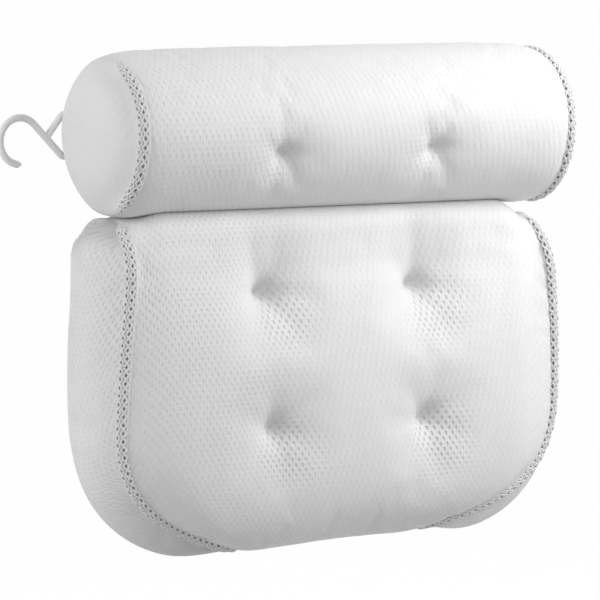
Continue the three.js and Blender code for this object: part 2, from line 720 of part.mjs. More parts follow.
// Panel pieces
add(panel, 'panel_front_cover', cut(panelCover(-1), threadHoles(panelTies)), airMesh);
const rearHoles = [...threadHoles(panelTies), ...cupHoles(panelCups)];
add(panel, 'panel_rear_cover', cut(panelCover(1), rearHoles), airMesh);
const panelPockets = [...threadHoles(panelTies), ...cupPockets(panelCups)];
add(panel, 'panel_filling', cut(panelFilling(), panelPockets), fibre);
for (const [side, hand] of HANDS) {
  add(panel, `panel_gusset_${side}`, panelGusset(hand), airMesh);
  add(panel, `panel_trim_${side}`, panelTrim(hand), binding);
}
const stripTop = hingeReach - GAP;
const stripHeight = stripTop - panelTop + MESH_THICKNESS - GAP;
const strip = add(
  panel, 'hinge_strip', new THREE.BoxGeometry(STRIP_LENGTH, STRIP_THICKNESS, stripHeight), binding,
);
strip.position.set(0, hingeY, stripTop - stripHeight / 2);

// Roll pieces
const rollCoverRings = rollRings(rollEnd - coverInset);
const rollCover = between(rollCoverRings, inset(rollCoverRings, MESH_THICKNESS, 1, true), true);
add(roll, 'roll_cover', cut(rollCover, [...threadHoles(rollTies), ...cupHoles(rollCups)]), airMesh);
const rollPockets = [...threadHoles(rollTies), ...cupPockets(rollCups)];
add(roll, 'roll_filling', cut(rollFilling(), rollPockets), fibre);
for (const [side, hand] of HANDS) {
  for (const [piece, shape, material] of [['end_cap', rollEndCap, airMesh], ['trim', rollTrim, binding]]) {
    const mesh = add(roll, `roll_${piece}_${side}`, shape(), material);
    mesh.rotation.z = -hand * Math.PI / 2;
    mesh.position.set(0, rollY, rollZ);
  }
}

// Threads, eyelets and cups on both cushions
for (const [group, owner, ties, cups] of [
  [panel, 'panel', panelTies, panelCups],
  [roll, 'roll', rollTies, rollCups],
]) {
  for (const { name, x, y, z, slope } of ties) {
    add(group, `${owner}_tuft_tie_${name}`, tuftTie(y, slope), thread).position.set(x, 0, z);
  }
  for (const { name, x, z } of cups) {
    add(group, `${owner}_eyelet_${name}`, eyelet(), eyeletPlastic).position.set(x, 0, z);
    add(group, `${owner}_cup_${name}`, suctionCup(), cupRubber).position.set(x, 0, z);
  }
}

// Hook and its loop
add(roll, 'hook', hangingHook(), hookPlastic).position.set(hookX, hookY, hookZ);
add(roll, 'hook_loop', hookLoop(), webbing).position.set(hookX, hookY, hookZ);

export default pillow;
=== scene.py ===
"""Bath pillow, dressed on the part's frame.

Air-mesh cushions, open-work binding, suction cups and a hanging hook.
"""

import json
import math

import bmesh
import bpy
import numpy as np
from bpy.props import FloatProperty, FloatVectorProperty, IntProperty, PointerProperty
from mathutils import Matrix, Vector


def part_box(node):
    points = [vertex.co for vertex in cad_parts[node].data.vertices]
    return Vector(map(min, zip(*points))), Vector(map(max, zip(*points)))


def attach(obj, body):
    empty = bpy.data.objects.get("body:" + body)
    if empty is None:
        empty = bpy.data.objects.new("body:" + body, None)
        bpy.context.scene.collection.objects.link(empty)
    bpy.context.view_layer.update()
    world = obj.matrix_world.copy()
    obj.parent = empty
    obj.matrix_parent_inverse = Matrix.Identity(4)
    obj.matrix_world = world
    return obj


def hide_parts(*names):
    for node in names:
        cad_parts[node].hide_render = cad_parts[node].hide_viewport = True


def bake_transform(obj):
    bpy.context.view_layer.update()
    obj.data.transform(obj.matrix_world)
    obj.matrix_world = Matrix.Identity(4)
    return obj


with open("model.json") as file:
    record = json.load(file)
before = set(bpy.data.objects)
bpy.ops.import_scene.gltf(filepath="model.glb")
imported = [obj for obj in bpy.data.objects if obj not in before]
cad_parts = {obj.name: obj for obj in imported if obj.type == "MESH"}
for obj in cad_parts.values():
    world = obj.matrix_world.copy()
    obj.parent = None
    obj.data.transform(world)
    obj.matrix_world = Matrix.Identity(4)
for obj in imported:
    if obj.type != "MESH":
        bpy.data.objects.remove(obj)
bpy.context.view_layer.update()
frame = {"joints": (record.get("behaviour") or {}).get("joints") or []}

bl_info = {
    "name": "Bath pillow",
    "version": (1, 0, 0),
    "blender": (4, 5, 0),
    "location": "View3D > Sidebar > Pillow",
    "description": "Dresses the bath pillow's frame in stuffed air-mesh, open-work binding, cups and hook",
    "category": "Object",
}


# Places that come from the frame

def middle(node):
    low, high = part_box(node)
    return (low + high) / 2


def behind(node):
    """The place on the flat rear in line with a node's middle."""
    centre = middle(node)
    return (centre.x, REAR_Y, centre.z)


ROLL_Y, ROLL_Z = middle("roll_trim_left").yz
REAR_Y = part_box("panel_rear_cover")[1].y
PANEL_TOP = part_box("panel_front_cover")[1].z
HINGE_Y = middle("hinge_strip").y
HANDS = (("left", -1), ("right", 1))
LEVELS = ("upper", "lower")


# Sizes and colours that a user would change

def size(name, default, description):
    return FloatProperty(
        name=name, description=description, default=default, precision=4, unit="LENGTH", subtype="DISTANCE"
    )


def turn(name, degrees, description):
    return FloatProperty(
        name=name, description=description, default=math.radians(degrees), unit="ROTATION", subtype="ANGLE"
    )


def share(name, default, description):
    return FloatProperty(name=name, description=description, default=default)


def tint(name, default, description):
    return FloatVectorProperty(
        name=name, description=description, default=default, size=3, min=0, max=1, subtype="COLOR"
    )


class RollSizes(bpy.types.PropertyGroup):
    length: size("Length", 0.38, "Distance between the two end seams")
    seam_radius: size("Seam radius", 0.054, "Radius of the end seams")
    crown: size("Crown", 0.0057, "How far the middle swells past the seams")
    cap_bulge: size("Cap bulge", 0.020, "How far an end cap stands out")
    cap_valley: size("Cap valley", 0.004, "Depth of the dip beside the front of an end seam")
    droop: size("End droop", 0.0045, "How far the underside of each end sags")
    tuft_x: size("Tuft distance", 0.068, "Distance of a tuft from the middle")
    tuft_tilt: turn("Tuft tilt", 19, "How far the tufts sit below the front")
    tuft_depth: size("Tuft depth", 0.019, "How deep a tuft is drawn in")
    tuft_spread: size("Tuft spread", 0.046, "Radius of the hollow round a tuft")
    columns: IntProperty(name="Columns", description="Cells along the roll", default=96, min=24)
    sides: IntProperty(name="Sides", description="Cells round the roll", default=84, min=24)


class PanelSizes(bpy.types.PropertyGroup):
    height: size("Height", 0.243, "From the hinge seam to the bottom seam")
    top_width: size("Top width", 0.368, "Width at the shoulders")
    side_bow: size("Side bow", 0.010, "How far each side bows out")
    corner_height: size("Corner height", 0.093, "Height at which the corner curve starts")
    corner_drop: size("Corner drop", 0.065, "How long the corner keeps to the side")
    tip_x: size("Tip distance", 0.085, "Distance of a side seam's lower tip from the middle")
    tip_reach: size("Tip reach", 0.062, "How long the corner keeps to the bottom")
    tip_rise: size("Tip rise", 0.016, "Rise of the bottom edge towards the corner")
    shoulder_drop: size("Shoulder drop", 0.008, "How far the shoulders lie below the hinge seam")
    bottom_bow: size("Bottom bow", 0.003, "How far the bottom seam dips in the middle")
    seam_depth: size("Seam depth", 0.084, "Width of a side panel at its widest")
    top_round: size("Top round", 0.042, "Height of the rounding at the top front")
    rear_top_round: size("Rear top round", 0.022, "Height of the rounding at the top rear")
    bottom_set: size("Bottom set", 0.016, "How far the bottom seam lies forward of the hinge")
    crest: size("Crest", 0.025, "Radius of the stuffed top edge that presses against the roll")
    contact: size("Contact", 0.0257, "How far in front of the hinge the top edge leaves the roll")
    left_lift: size("Left lift", 0.009, "How far the left shoulder is pushed up towards the roll")
    tip_drop: size("Left tip drop", 0.005, "How far the left tip hangs down")
    tip_run: size("Tip run", 0.06, "Length over which a side panel thins out to its tip")
    front_bulge: size("Front bulge", 0.040, "How far the front swells past the seams")
    front_swell: size("Front swell", 0.006, "Further swell towards the middle")
    rear_fullness: share("Rear fullness", 1.15, "How quickly the rear reaches its flat")
    bulge_power: share("Bulge power", 2.6, "Squareness of the swell from top to bottom")
    gusset_bulge: size("Side bulge", 0.018, "How far a side panel stands out")
    corner_bulge: size("Corner bulge", 0.028, "How far a side panel stands out round the corner")
    rear_inset: size("Rear inset", 0.006, "How far the rear seam is drawn in behind the front one")
    rear_inset_run: size("Rear inset run", 0.060, "Length over which the rear seam draws in")
    tip_half: size("Tip half width", 0.0043, "Half the width of a side panel at its tip")
    tuft_x: size("Tuft distance", 0.068, "Distance of a tuft from the middle")
    upper_drop: size("Upper tuft drop", 0.057, "Height of the upper tufts below the hinge seam")
    upper_depth: size("Upper tuft depth", 0.032, "How deep the upper tufts are drawn in")
    lower_drop: size("Lower tuft drop", 0.155, "Height of the lower tufts below the hinge seam")
    lower_depth: size("Lower tuft depth", 0.023, "How deep the lower tufts are drawn in")
    tuft_spread: size("Tuft spread", 0.052, "Radius of the hollow round a tuft")
    rows: IntProperty(name="Rows", description="Cells from top to bottom", default=76, min=20)
    columns: IntProperty(name="Columns", description="Cells across each cover", default=90, min=20)
    side_cells: IntProperty(name="Side cells", description="Cells across each side panel", default=18, min=6)


class ClothSizes(bpy.types.PropertyGroup):
    pucker: size("Pucker", 0.0006, "Height of the small folds round a tuft")
    travel: size("Travel", 0.003, "Most that stuffing moves the cloth from its pattern")
    pressure: share("Pressure", 4, "Pressure of the stuffing")
    slack: share("Slack", 0.004, "Share by which the cloth is cut longer than its pattern")
    column_pitch: size("Column pitch", 0.0053, "Width of one cell of the air-mesh")
    row_pitch: size("Row pitch", 0.0039, "Height of one cell of the air-mesh")


class BindingSizes(bpy.types.PropertyGroup):
    pitch: size("Pitch", 0.0059, "Length of one hole of the open-work")
    radius: size("Radius", 0.0039, "Radius at which the strands lie")
    core: size("Core", 0.0025, "Radius of the rolled tape under the strands")
    strand: size("Strand", 0.00092, "Radius of a crossing strand")
    edge_cord: size("Edge cord", 0.0012, "Radius of the cord along the cover")
    side_cord: size("Side cord", 0.0006, "Radius of the cord along the side panel")
    swing: turn("Swing", 66, "How far the strands swing to either side")
    taper: size("Taper", 0.016, "Length over which the ends narrow")
    right_turn: turn("Right turn", 46, "How far the open-work on the right is rolled towards the covers")


class CupSizes(bpy.types.PropertyGroup):
    radius: size("Radius", 0.027, "Radius of the rim")
    land: size("Land", 0.004, "Width of the flat rim")
    hollow: size("Hollow", 0.0065, "Depth of the hollow")
    back: size("Back", 0.009, "Height of the dome's shoulder")
    neck: size("Neck", 0.004, "Radius of the neck")
    head: size("Head", 0.008, "Radius of the mushroom head")
    eyelet: size("Eyelet", 0.011, "Radius of the eyelet's flange")


class HookSizes(bpy.types.PropertyGroup):
    wire: size("Wire", 0.0026, "Radius of the moulded rod")
    bend: size("Bend", 0.0169, "Radius of the hook's bend")
    tip_angle: turn("Tip angle", 272, "Where the bend ends")
    tilt: turn("Tilt", 45, "Slope of the shaft")
    shaft: size("Shaft", 0.032, "Length of the shaft")
    arm_join: size("Arm join", 0.0146, "Where the eye's upper arm meets the shaft")
    eye: size("Eye", 0.022, "Height of the triangular eye")
    corner: size("Corner", 0.004, "Radius of the eye's corners")
    web_width: size("Webbing width", 0.018, "Width of the loop")
    web_thickness: size("Webbing thickness", 0.0012, "Thickness of the loop")
    web_tail: size("Webbing tail", 0.030, "Length of the sewn tail")


class Finishes(bpy.types.PropertyGroup):
    air_mesh: tint("Air-mesh", (0.87, 0.87, 0.87), "Face yarn of the air-mesh")
    air_mesh_hole: tint("Air-mesh hole", (0.74, 0.745, 0.75), "Shade inside the holes of the air-mesh")
    binding: tint("Binding", (0.90, 0.90, 0.90), "Strands of the open-work binding")
    # painted shade: the tape is a darker grey than the strands, standing for the shadow in the holes of the
    # open-work
    binding_painted_shade: tint("Binding ground", (0.74, 0.75, 0.76), "Shaded tape under the strands")
    webbing: tint("Webbing", (0.84, 0.84, 0.83), "Hook loop and hinge web")
    thread: tint("Thread", (0.82, 0.82, 0.81), "Sewing thread")
    hook: tint("Hook plastic", (0.95, 0.95, 0.94), "Moulded hook")
    eyelet: tint("Eyelet plastic", (0.80, 0.80, 0.79), "Snap eyelets")
    cup: tint("Cup", (0.82, 0.87, 0.90), "Clear suction cups")
    floor: tint("Floor", (0.52, 0.52, 0.52), "Studio floor")


class StudioSettings(bpy.types.PropertyGroup):
    azimuth: turn("Azimuth", -35, "Side from which the camera looks")
    elevation: turn("Elevation", 3.4, "Height of the camera above level")
    distance: size("Distance", 4.0, "Distance of the camera")
    lens: FloatProperty(name="Lens", description="Focal length in millimetres", default=324.8, unit="CAMERA")
    key: FloatProperty(name="Key", description="Power of the main lamp", default=6.9, unit="POWER")
    fill: FloatProperty(name="Fill", description="Power of the side lamp", default=25, unit="POWER")
    room: share("Room", 0.40, "Brightness of the light from all round")
    floor_drop: size("Floor drop", 0.11, "Distance of the floor below the panel")


class PillowSettings(bpy.types.PropertyGroup):
    roll: PointerProperty(type=RollSizes, name="Roll", description="Neck roll")
    panel: PointerProperty(type=PanelSizes, name="Panel", description="Back panel")
    cloth: PointerProperty(type=ClothSizes, name="Cloth", description="Air-mesh and stuffing")
    binding: PointerProperty(type=BindingSizes, name="Binding", description="Open-work binding")
    cup: PointerProperty(type=CupSizes, name="Cups", description="Suction cups and eyelets")
    hook: PointerProperty(type=HookSizes, name="Hook", description="Hook and its loop")
    finish: PointerProperty(type=Finishes, name="Finishes", description="Colours")
    studio: PointerProperty(type=StudioSettings, name="Studio", description="Camera and light")


# Mesh making

STRAND_TIP = 0.6  # how far a strand's end stands out, as a share of its radius
ON_AXIS = 1e-7  # a turned profile's radius below which it closes on its axis


def lerp(a, b, t):
    return a + (b - a) * t


def smooth(value, low, high):
    t = np.clip((value - low) / (high - low), 0, 1)
    return t * t * (3 - 2 * t)


def unit(vectors):
    return vectors / np.maximum(np.linalg.norm(vectors, axis=-1, keepdims=True), 1e-12)


def run_length(points):
    """Length along each row of points, from its first point."""
    steps = np.linalg.norm(np.diff(points, axis=-2), axis=-1)
    start = np.zeros(steps.shape[:-1] + (1,))
    return np.concatenate([start, np.cumsum(steps, axis=-1)], axis=-1)


def merged(*values):
    """Coordinates of any shape, stacked into points."""
    return np.stack(np.broadcast_arrays(*values), -1)


def looped(grid):
    """A grid with its first column again at the end."""
    return np.concatenate([grid, grid[:, :1]], axis=1)


def full_turn(count):
    """Angles at even steps round a circle."""
    return np.arange(count) / count * 2 * np.pi


class Pattern:
    """Collects a piece's points, faces and cloth coordinates before they become a mesh."""

    def __init__(self):
        self.points = []
        self.faces = []
        self.cloth = []
        self.finish = []
        self.count = 0

    def add(self, points):
        points = np.asarray(points, float)
        numbers = np.arange(self.count, self.count + points[..., 0].size).reshape(points.shape[:-1])
        self.points.append(points.reshape(-1, 3))
        self.count += numbers.size
        return numbers

    def face(self, corners, cloth, finish=0):
        self.faces.append([int(c) for c in corners])
        self.cloth.extend(cloth)
        self.finish.append(finish)

    def quads(self, numbers, cloth, finish=0):
        rows, columns = numbers.shape
        for i in range(rows - 1):
            for j in range(columns - 1):
                around = ((i, j), (i, j + 1), (i + 1, j + 1), (i + 1, j))
                self.face([numbers[a] for a in around], [cloth[a] for a in around], finish)

    def fan(self, ring, cloth_ring, centre, cloth_centre, finish=0):
        for j in range(len(ring) - 1):
            corners = (ring[j], ring[j + 1], centre)
            self.face(corners, (cloth_ring[j], cloth_ring[j + 1], cloth_centre), finish)

    def close(self, sheets):
        """Joins the edges of two sheets that face each other."""
        for row in (0, -1):
            for pair in (np.stack([n[row] for n in sheets]), np.stack([n[:, row] for n in sheets])):
                self.quads(pair, np.zeros(pair.shape + (2,)))

    def piece(self, name, *materials):
        """Makes the mesh object, with its faces turned outwards and shaded smooth."""
        mesh = bpy.data.meshes.new(name)
        mesh.from_pydata(np.concatenate(self.points).tolist(), [], self.faces)
        layer = mesh.uv_layers.new(name="cloth")
        layer.data.foreach_set("uv", np.asarray(self.cloth, float).ravel())
        mesh.polygons.foreach_set("material_index", self.finish)
        mesh.polygons.foreach_set("use_smooth", [True] * len(self.faces))
        for material in materials:
            mesh.materials.append(material)
        edit = bmesh.new()
        edit.from_mesh(mesh)
        bmesh.ops.recalc_face_normals(edit, faces=edit.faces)
        edit.to_mesh(mesh)
        edit.free()
        mesh.update()
        made = bpy.data.objects.new(name, mesh)
        bpy.context.scene.collection.objects.link(made)
        return made


def joined_ends(numbers, along, path):
    """Rings and lengths of a closed path, with the first ring again at the end."""
    gap = np.linalg.norm(path[0] - path[-1])
    return np.concatenate([numbers, numbers[:1]], axis=0), np.append(along, along[-1] + gap)


def tube_cloth(sides, radius, along):
    """Cloth coordinates of a tube, round it and along it."""
    around = np.arange(sides + 1) / sides * 2 * np.pi * radius
    return merged(around[None, :], along[:, None])


def strand(pattern, path, outward, radius, sides=6, closed=False, finish=0, profile=None):
    """Adds a round strand along a path; outward gives each point's upper side."""
    path = np.asarray(path, float)
    radius = np.broadcast_to(np.asarray(radius, float), (len(path),))
    if closed:
        tangent = np.roll(path, -1, 0) - np.roll(path, 1, 0)
    else:
        tangent = np.gradient(path, axis=0)
    tangent = unit(tangent)
    outward = np.broadcast_to(np.asarray(outward, float), path.shape)
    normal = unit(outward - (outward * tangent).sum(-1, keepdims=True) * tangent)
    side = np.cross(tangent, normal)
    angle = full_turn(sides)
    swell = np.ones(sides) if profile is None else profile(angle)
    ring = np.cos(angle)[:, None] * normal[:, None] + np.sin(angle)[:, None] * side[:, None]
    numbers = looped(pattern.add(path[:, None] + radius[:, None, None] * swell[None, :, None] * ring))
    along = run_length(path)
    if closed:
        numbers, along = joined_ends(numbers, along, path)
    cloth = tube_cloth(sides, radius.mean(), along)
    pattern.quads(numbers, cloth, finish)
    if not closed:
        for end, push in ((0, -1), (-1, 1)):
            tip = path[end] + push * radius[end] * STRAND_TIP * tangent[end]
            pattern.fan(numbers[end], cloth[end], pattern.add(tip[None])[0], cloth[end].mean(0), finish)


def turned(pattern, profile, place, sides=48, closed=False):
    """Adds a shape turned about an axis along Y; profile is a list of radius and depth."""
    profile = np.asarray(profile, float)
    angle = full_turn(sides)
    radius, depth = profile.T
    rings = merged(
        place[0] + radius[:, None] * np.cos(angle),
        place[1] + depth[:, None],
        place[2] + radius[:, None] * np.sin(angle),
    )
    open_rows = radius > ON_AXIS
    numbers = looped(pattern.add(rings[open_rows]))
    along = run_length(profile)[open_rows]
    if closed:
        numbers, along = joined_ends(numbers, along, profile)
    cloth = tube_cloth(sides, radius.max(), along)
    pattern.quads(numbers, cloth)
    for end in (0, -1):
        if radius[end] <= ON_AXIS:
            tip = pattern.add(np.array([[place[0], place[1] + depth[end], place[2]]]))[0]
            pattern.fan(numbers[end], cloth[end], tip, cloth[end].mean(0))


def rounded(profile, radius, steps=4):
    """Rounds the corners of a turned profile, taking up less than half of each edge."""
    profile = np.asarray(profile, float)
    most = 0.45
    made = [profile[0]]
    for before, here, after in zip(profile[:-2], profile[1:-1], profile[2:]):
        to_before, to_after = before - here, after - here
        reach = min(radius, most * np.linalg.norm(to_before), most * np.linalg.norm(to_after))
        start, end = here + unit(to_before) * reach, here + unit(to_after) * reach
        for t in np.linspace(0, 1, steps + 1):
            made.append(lerp(lerp(start, here, t), lerp(here, end, t), t))
    made.append(profile[-1])
    return np.array(made)


def resampled(path, count):
    """Points at even distances along a path, with whatever else its rows carry."""
    along = run_length(path[:, :3])
    places = np.linspace(0, along[-1], count)
    return np.stack([np.interp(places, along, column) for column in path.T], -1)


# Shapes of the cushions

PINCH_SPREAD = 0.38
PINCH_SHARE = 0.4


def tuft_draw(distance, depth, spread):
    """Depth of the hollow round a tuft: a wide dip with a narrow pinch in it."""
    wide = np.maximum(0, 1 - distance / spread) ** 2
    pinch = np.maximum(0, 1 - distance / (PINCH_SPREAD * spread)) ** 2
    return depth * ((1 - PINCH_SHARE) * wide + PINCH_SHARE * pinch)


def tuft_pucker(distance, angle, spread, height, folds, start):
    """Small folds that run out from a tuft, highest at a third of the spread."""
    reach = np.clip(distance / spread, 0, 1)
    return height * np.cos(folds * angle + start) * reach * (1 - reach) ** 2 * 27 / 4


def under_roll(x, y):
    """Height of the roll's underside."""
    roll = RollShape(bpy.context.scene.pillow.roll, 0)
    x = np.clip(x, -roll.end, roll.end)
    radius = roll.radius(x)
    depth = np.sqrt(np.maximum(0, radius ** 2 - (y - ROLL_Y) ** 2))
    return ROLL_Z - depth - roll.sag(x, depth / radius)


class PanelShape:
    """The back panel's pattern: where its seams run and how its covers swell between them."""

    top_split = 0.0011  # half the distance between the covers at the hinge seam
    bottom_split = 0.00015  # the same at the bottom seam
    level_half = 0.136  # where a cover starts to curve towards its side seams
    level_share = 0.72  # most of the half width that stays level
    taper = 2.6  # how late the side panels narrow
    sweep = 4  # how late they come forward
    clearance = -0.0005  # from the top edge to the roll, below nought where pressed in
    crest_share = 0.2  # share of the height that the stuffed top edge takes up
    crest_start = 0.007  # depth over which the top edge rises to the roll
    crest_slopes = (58, 10)  # degrees where the top edge leaves the roll and meets the front
    crest_fade = (0.8, 1)  # where it goes over into the front
    crest_steps = 14
    contact_past = (0.012, 0.006)  # how much further the contact runs on the left and right
    contact_fade = (0.140, 0.182)  # where the contact ends towards the sides
    shoulder_side = (0.10, 0.18)  # distances to the left over which the left shoulder rises
    shoulder_front = (0.040, 0.062)  # distances forward over which it rises
    shoulder_fade = (0.010, 0.070)  # distances below the hinge seam over which that fades
    tip_start = (-0.03, 0.09)  # distances to the left over which the left tip sinks
    tip_end = (0.09, 0.20)  # and over which that fades
    tip_fade = (0, 0.06)  # heights over which it fades upwards
    tip_blunt = 0.002  # what remains of the tip run at the tip itself
    tip_power = 0.8  # below 1 the side panels thin out late
    corner_full = 0.78  # share of the side seam at which the corner's bulge is full

    def __init__(self, sizes, pucker):
        self.z = sizes
        self.pucker = pucker
        self.half = sizes.top_width / 2 + sizes.side_bow
        self.tip_z = PANEL_TOP - sizes.height + sizes.bottom_bow
        self.corner_z = self.tip_z + sizes.corner_height
        self.shoulder_z = PANEL_TOP - sizes.shoulder_drop
        self.side = self.shoulder_z - self.corner_z
        self.hull = np.array([
            [self.half, self.corner_z],
            [self.half, self.corner_z - sizes.corner_drop],
            [sizes.tip_x + sizes.tip_reach, self.tip_z + sizes.tip_rise],
            [sizes.tip_x, self.tip_z],
        ])
        self.t = np.linspace(0, 1, 800)
        self.t_length = run_length(self.corner(self.t)[0])
        self.length = self.side + self.t_length[-1]
        self.bottom_y = HINGE_Y - sizes.bottom_set
        self.crest_line = self.crest_profile()

    def corner(self, t):
        t = np.asarray(t, float)[..., None]
        a, b, c, d = self.hull
        point = (1 - t) ** 3 * a + 3 * (1 - t) ** 2 * t * b + 3 * (1 - t) * t ** 2 * c + t ** 3 * d
        slope = 3 * (1 - t) ** 2 * (b - a) + 6 * (1 - t) * t * (c - b) + 3 * t ** 2 * (d - c)
        return point, unit(slope)

    def outline(self, s):
        """Half width, height and outward direction of the side seam, at a length below the shoulder."""
        s = np.asarray(s, float)
        part = np.clip(s / self.side, 0, 1) * np.pi / 2
        x = self.z.top_width / 2 + self.z.side_bow * np.sin(part)
        lean = self.z.side_bow * np.cos(part) * np.pi / 2 / self.side
        norm = np.hypot(1, lean)
        point, slope = self.corner(np.interp(s - self.side, self.t_length, self.t))
        low = s > self.side
        return (
            np.where(low, point[..., 0], x),
            np.where(low, point[..., 1], self.shoulder_z - s),
            np.where(low, -slope[..., 1], 1 / norm),
            np.where(low, slope[..., 0], lean / norm),
        )

    def rear_inset(self, s):
        end = np.clip(s / self.length, 0, 1) ** self.sweep
        return self.z.rear_inset * smooth(s, 0, self.z.rear_inset_run) * (1 - end)

    def reach(self, s, face):
        """Half width of the side panel towards the front (face -1) or the rear."""
        full = lerp(self.z.seam_depth / 2, self.z.tip_half, np.clip(s / self.length, 0, 1) ** self.taper)
        climb = np.clip(s / np.where(face < 0, self.z.top_round, self.z.rear_top_round), 0, 1)
        return full * np.sqrt(1 - (1 - climb) ** 2)

    def mid(self, s):
        return lerp(HINGE_Y, self.bottom_y, np.clip(s / self.length, 0, 1) ** self.sweep)

    def seam_y(self, s, face):
        return self.mid(s) + face * np.maximum(self.top_split, self.reach(s, face))

    def bulge(self, down):
        return np.sqrt(np.maximum(0, 1 - np.abs(2 * down - 1) ** self.z.bulge_power))

    def tufts(self):
        for level, drop, depth in (
            ("upper", self.z.upper_drop, self.z.upper_depth),
            ("lower", self.z.lower_drop, self.z.lower_depth),
        ):
            for name, hand in HANDS:
                yield f"{level}_{name}", hand * self.z.tuft_x, PANEL_TOP - drop, depth

    def cover(self, s, step, face, tufted=True):
        """A point of the front (face -1) or rear cover; step runs from -1 to 1 across it."""
        x_edge, z_edge, nx, nz = self.outline(s)
        down = (self.shoulder_z - z_edge) / (self.shoulder_z - self.tip_z)
        if face > 0:
            x_edge, z_edge = x_edge - self.rear_inset(s) * nx, z_edge - self.rear_inset(s) * nz
        x = step * x_edge
        flat = np.minimum(self.level_half, self.level_share * x_edge)
        side = np.maximum(0, (np.abs(x) - flat) / (x_edge - flat)) ** 2
        z = lerp(PANEL_TOP - self.z.height * down, z_edge, side)
        spine = lerp(HINGE_Y + face * self.top_split, self.bottom_y + face * self.bottom_split, down)
        if face > 0:
            full = self.z.rear_fullness * (REAR_Y - self.bottom_y)
            y = lerp(np.minimum(REAR_Y, spine + full * self.bulge(down)), self.seam_y(s, face), side)
            return merged(x, y, z + self.left_shift(x, y, z))
        y = lerp(spine - self.z.front_bulge * self.bulge(down), self.seam_y(s, face), side)
        y = y - self.z.front_swell * (1 - step ** 2) * self.bulge(down)
        draw = self.drawn(x, z) if tufted else 0
        y, z = self.pressed(x, y, z + self.left_shift(x, y, z), down, draw)
        return merged(x, y, z)

    def pressed(self, x, y, z, down, draw):
        """Rolls the top edge forward until it presses against the roll."""
        part = np.clip(down / self.crest_share, 0, 1)
        along = np.abs(x) - np.where(x < 0, *self.contact_past)
        share_pressed = (1 - smooth(along, *self.contact_fade)) * (1 - smooth(part, *self.crest_fade))
        y = lerp(y, np.interp(part, *self.crest_line[:, [0, 1]].T), share_pressed) + draw
        raised_z = lerp(z, np.interp(part, *self.crest_line[:, [0, 2]].T), share_pressed)
        limit = np.maximum(z, under_roll(x, y) - self.clearance)
        return y, np.where(share_pressed > 0, np.minimum(raised_z, limit), z)

    def crest_profile(self):
        """Share, depth and height along the top edge: under the roll, round the edge, down the front."""
        y = np.linspace(HINGE_Y - self.top_split, HINGE_Y - self.z.contact, self.crest_steps)
        below = under_roll(0, y) - self.clearance
        under = np.stack([y, lerp(PANEL_TOP, below, smooth(y[0] - y, 0, self.crest_start))], -1)
        slope = np.radians(np.linspace(*self.crest_slopes, self.crest_steps))
        normal = np.stack([-np.cos(slope), np.sin(slope)], -1)
        edge = (under[-1] + self.z.crest * (normal - normal[0]))[1:]
        swell = (self.z.front_bulge + self.z.front_swell) * self.bulge(self.crest_share)
        foot = np.array([[HINGE_Y - swell, PANEL_TOP - self.z.height * self.crest_share]])
        line = np.concatenate([under, edge, foot])
        length = run_length(line)
        return np.concatenate([(length / length[-1])[:, None], line], 1)

    def left_shift(self, x, y, z):
        """Raises the left shoulder and lowers the left tip."""
        near = smooth(-x, *self.shoulder_side) * smooth(-y, *self.shoulder_front)
        tip = smooth(-x, *self.tip_start) * (1 - smooth(-x, *self.tip_end))
        tip = tip * (1 - smooth(z - self.tip_z, *self.tip_fade))
        lift = self.z.left_lift * near * (1 - smooth(PANEL_TOP - z, *self.shoulder_fade))
        return lift - self.z.tip_drop * tip

    def drawn(self, x, z):
        total = 0
        for number, (_, tuft_x, tuft_z, depth) in enumerate(self.tufts()):
            away = np.hypot(x - tuft_x, z - tuft_z)
            angle = np.arctan2(z - tuft_z, x - tuft_x)
            total = total + tuft_draw(away, depth, self.z.tuft_spread)
            total = total + tuft_pucker(away, angle, self.z.tuft_spread, self.pucker, 6 + number % 2, number)
        return total

    def tuft_point(self, tuft_x, tuft_z):
        """Bottom of a tuft's hollow."""
        down = (PANEL_TOP - tuft_z) / self.z.height
        level = self.shoulder_z - down * (self.shoulder_z - self.tip_z)
        lengths = np.linspace(0, self.length, 2000)
        s = np.interp(-level, -self.outline(lengths)[1], lengths)
        return self.cover(s, tuft_x / self.outline(s)[0], -1)

    def side_panel(self, s, step, hand):
        """A point of a side panel; step runs from -1 at the front seam to 1 at the rear one."""
        x, z, nx, nz = self.outline(s)
        reach = np.abs(self.seam_y(s, np.where(step < 0, -1, 1)) - self.mid(s))
        full = smooth(s, self.side, self.corner_full * self.length)
        to_tip = np.clip((self.length - s + self.tip_blunt) / self.z.tip_run, 0, 1)
        thin = np.sin(np.pi / 2 * to_tip) ** self.tip_power
        swell = lerp(self.z.gusset_bulge, self.z.corner_bulge, full) * thin
        out = swell * (1 - step ** 2) * np.sqrt(reach * 2 / self.z.seam_depth)
        out = out - self.rear_inset(s) * np.maximum(0, step)
        x, y, z = hand * (x + out * nx), self.mid(s) + step * reach, z + out * nz
        return merged(x, y, z + self.left_shift(x, y, z))

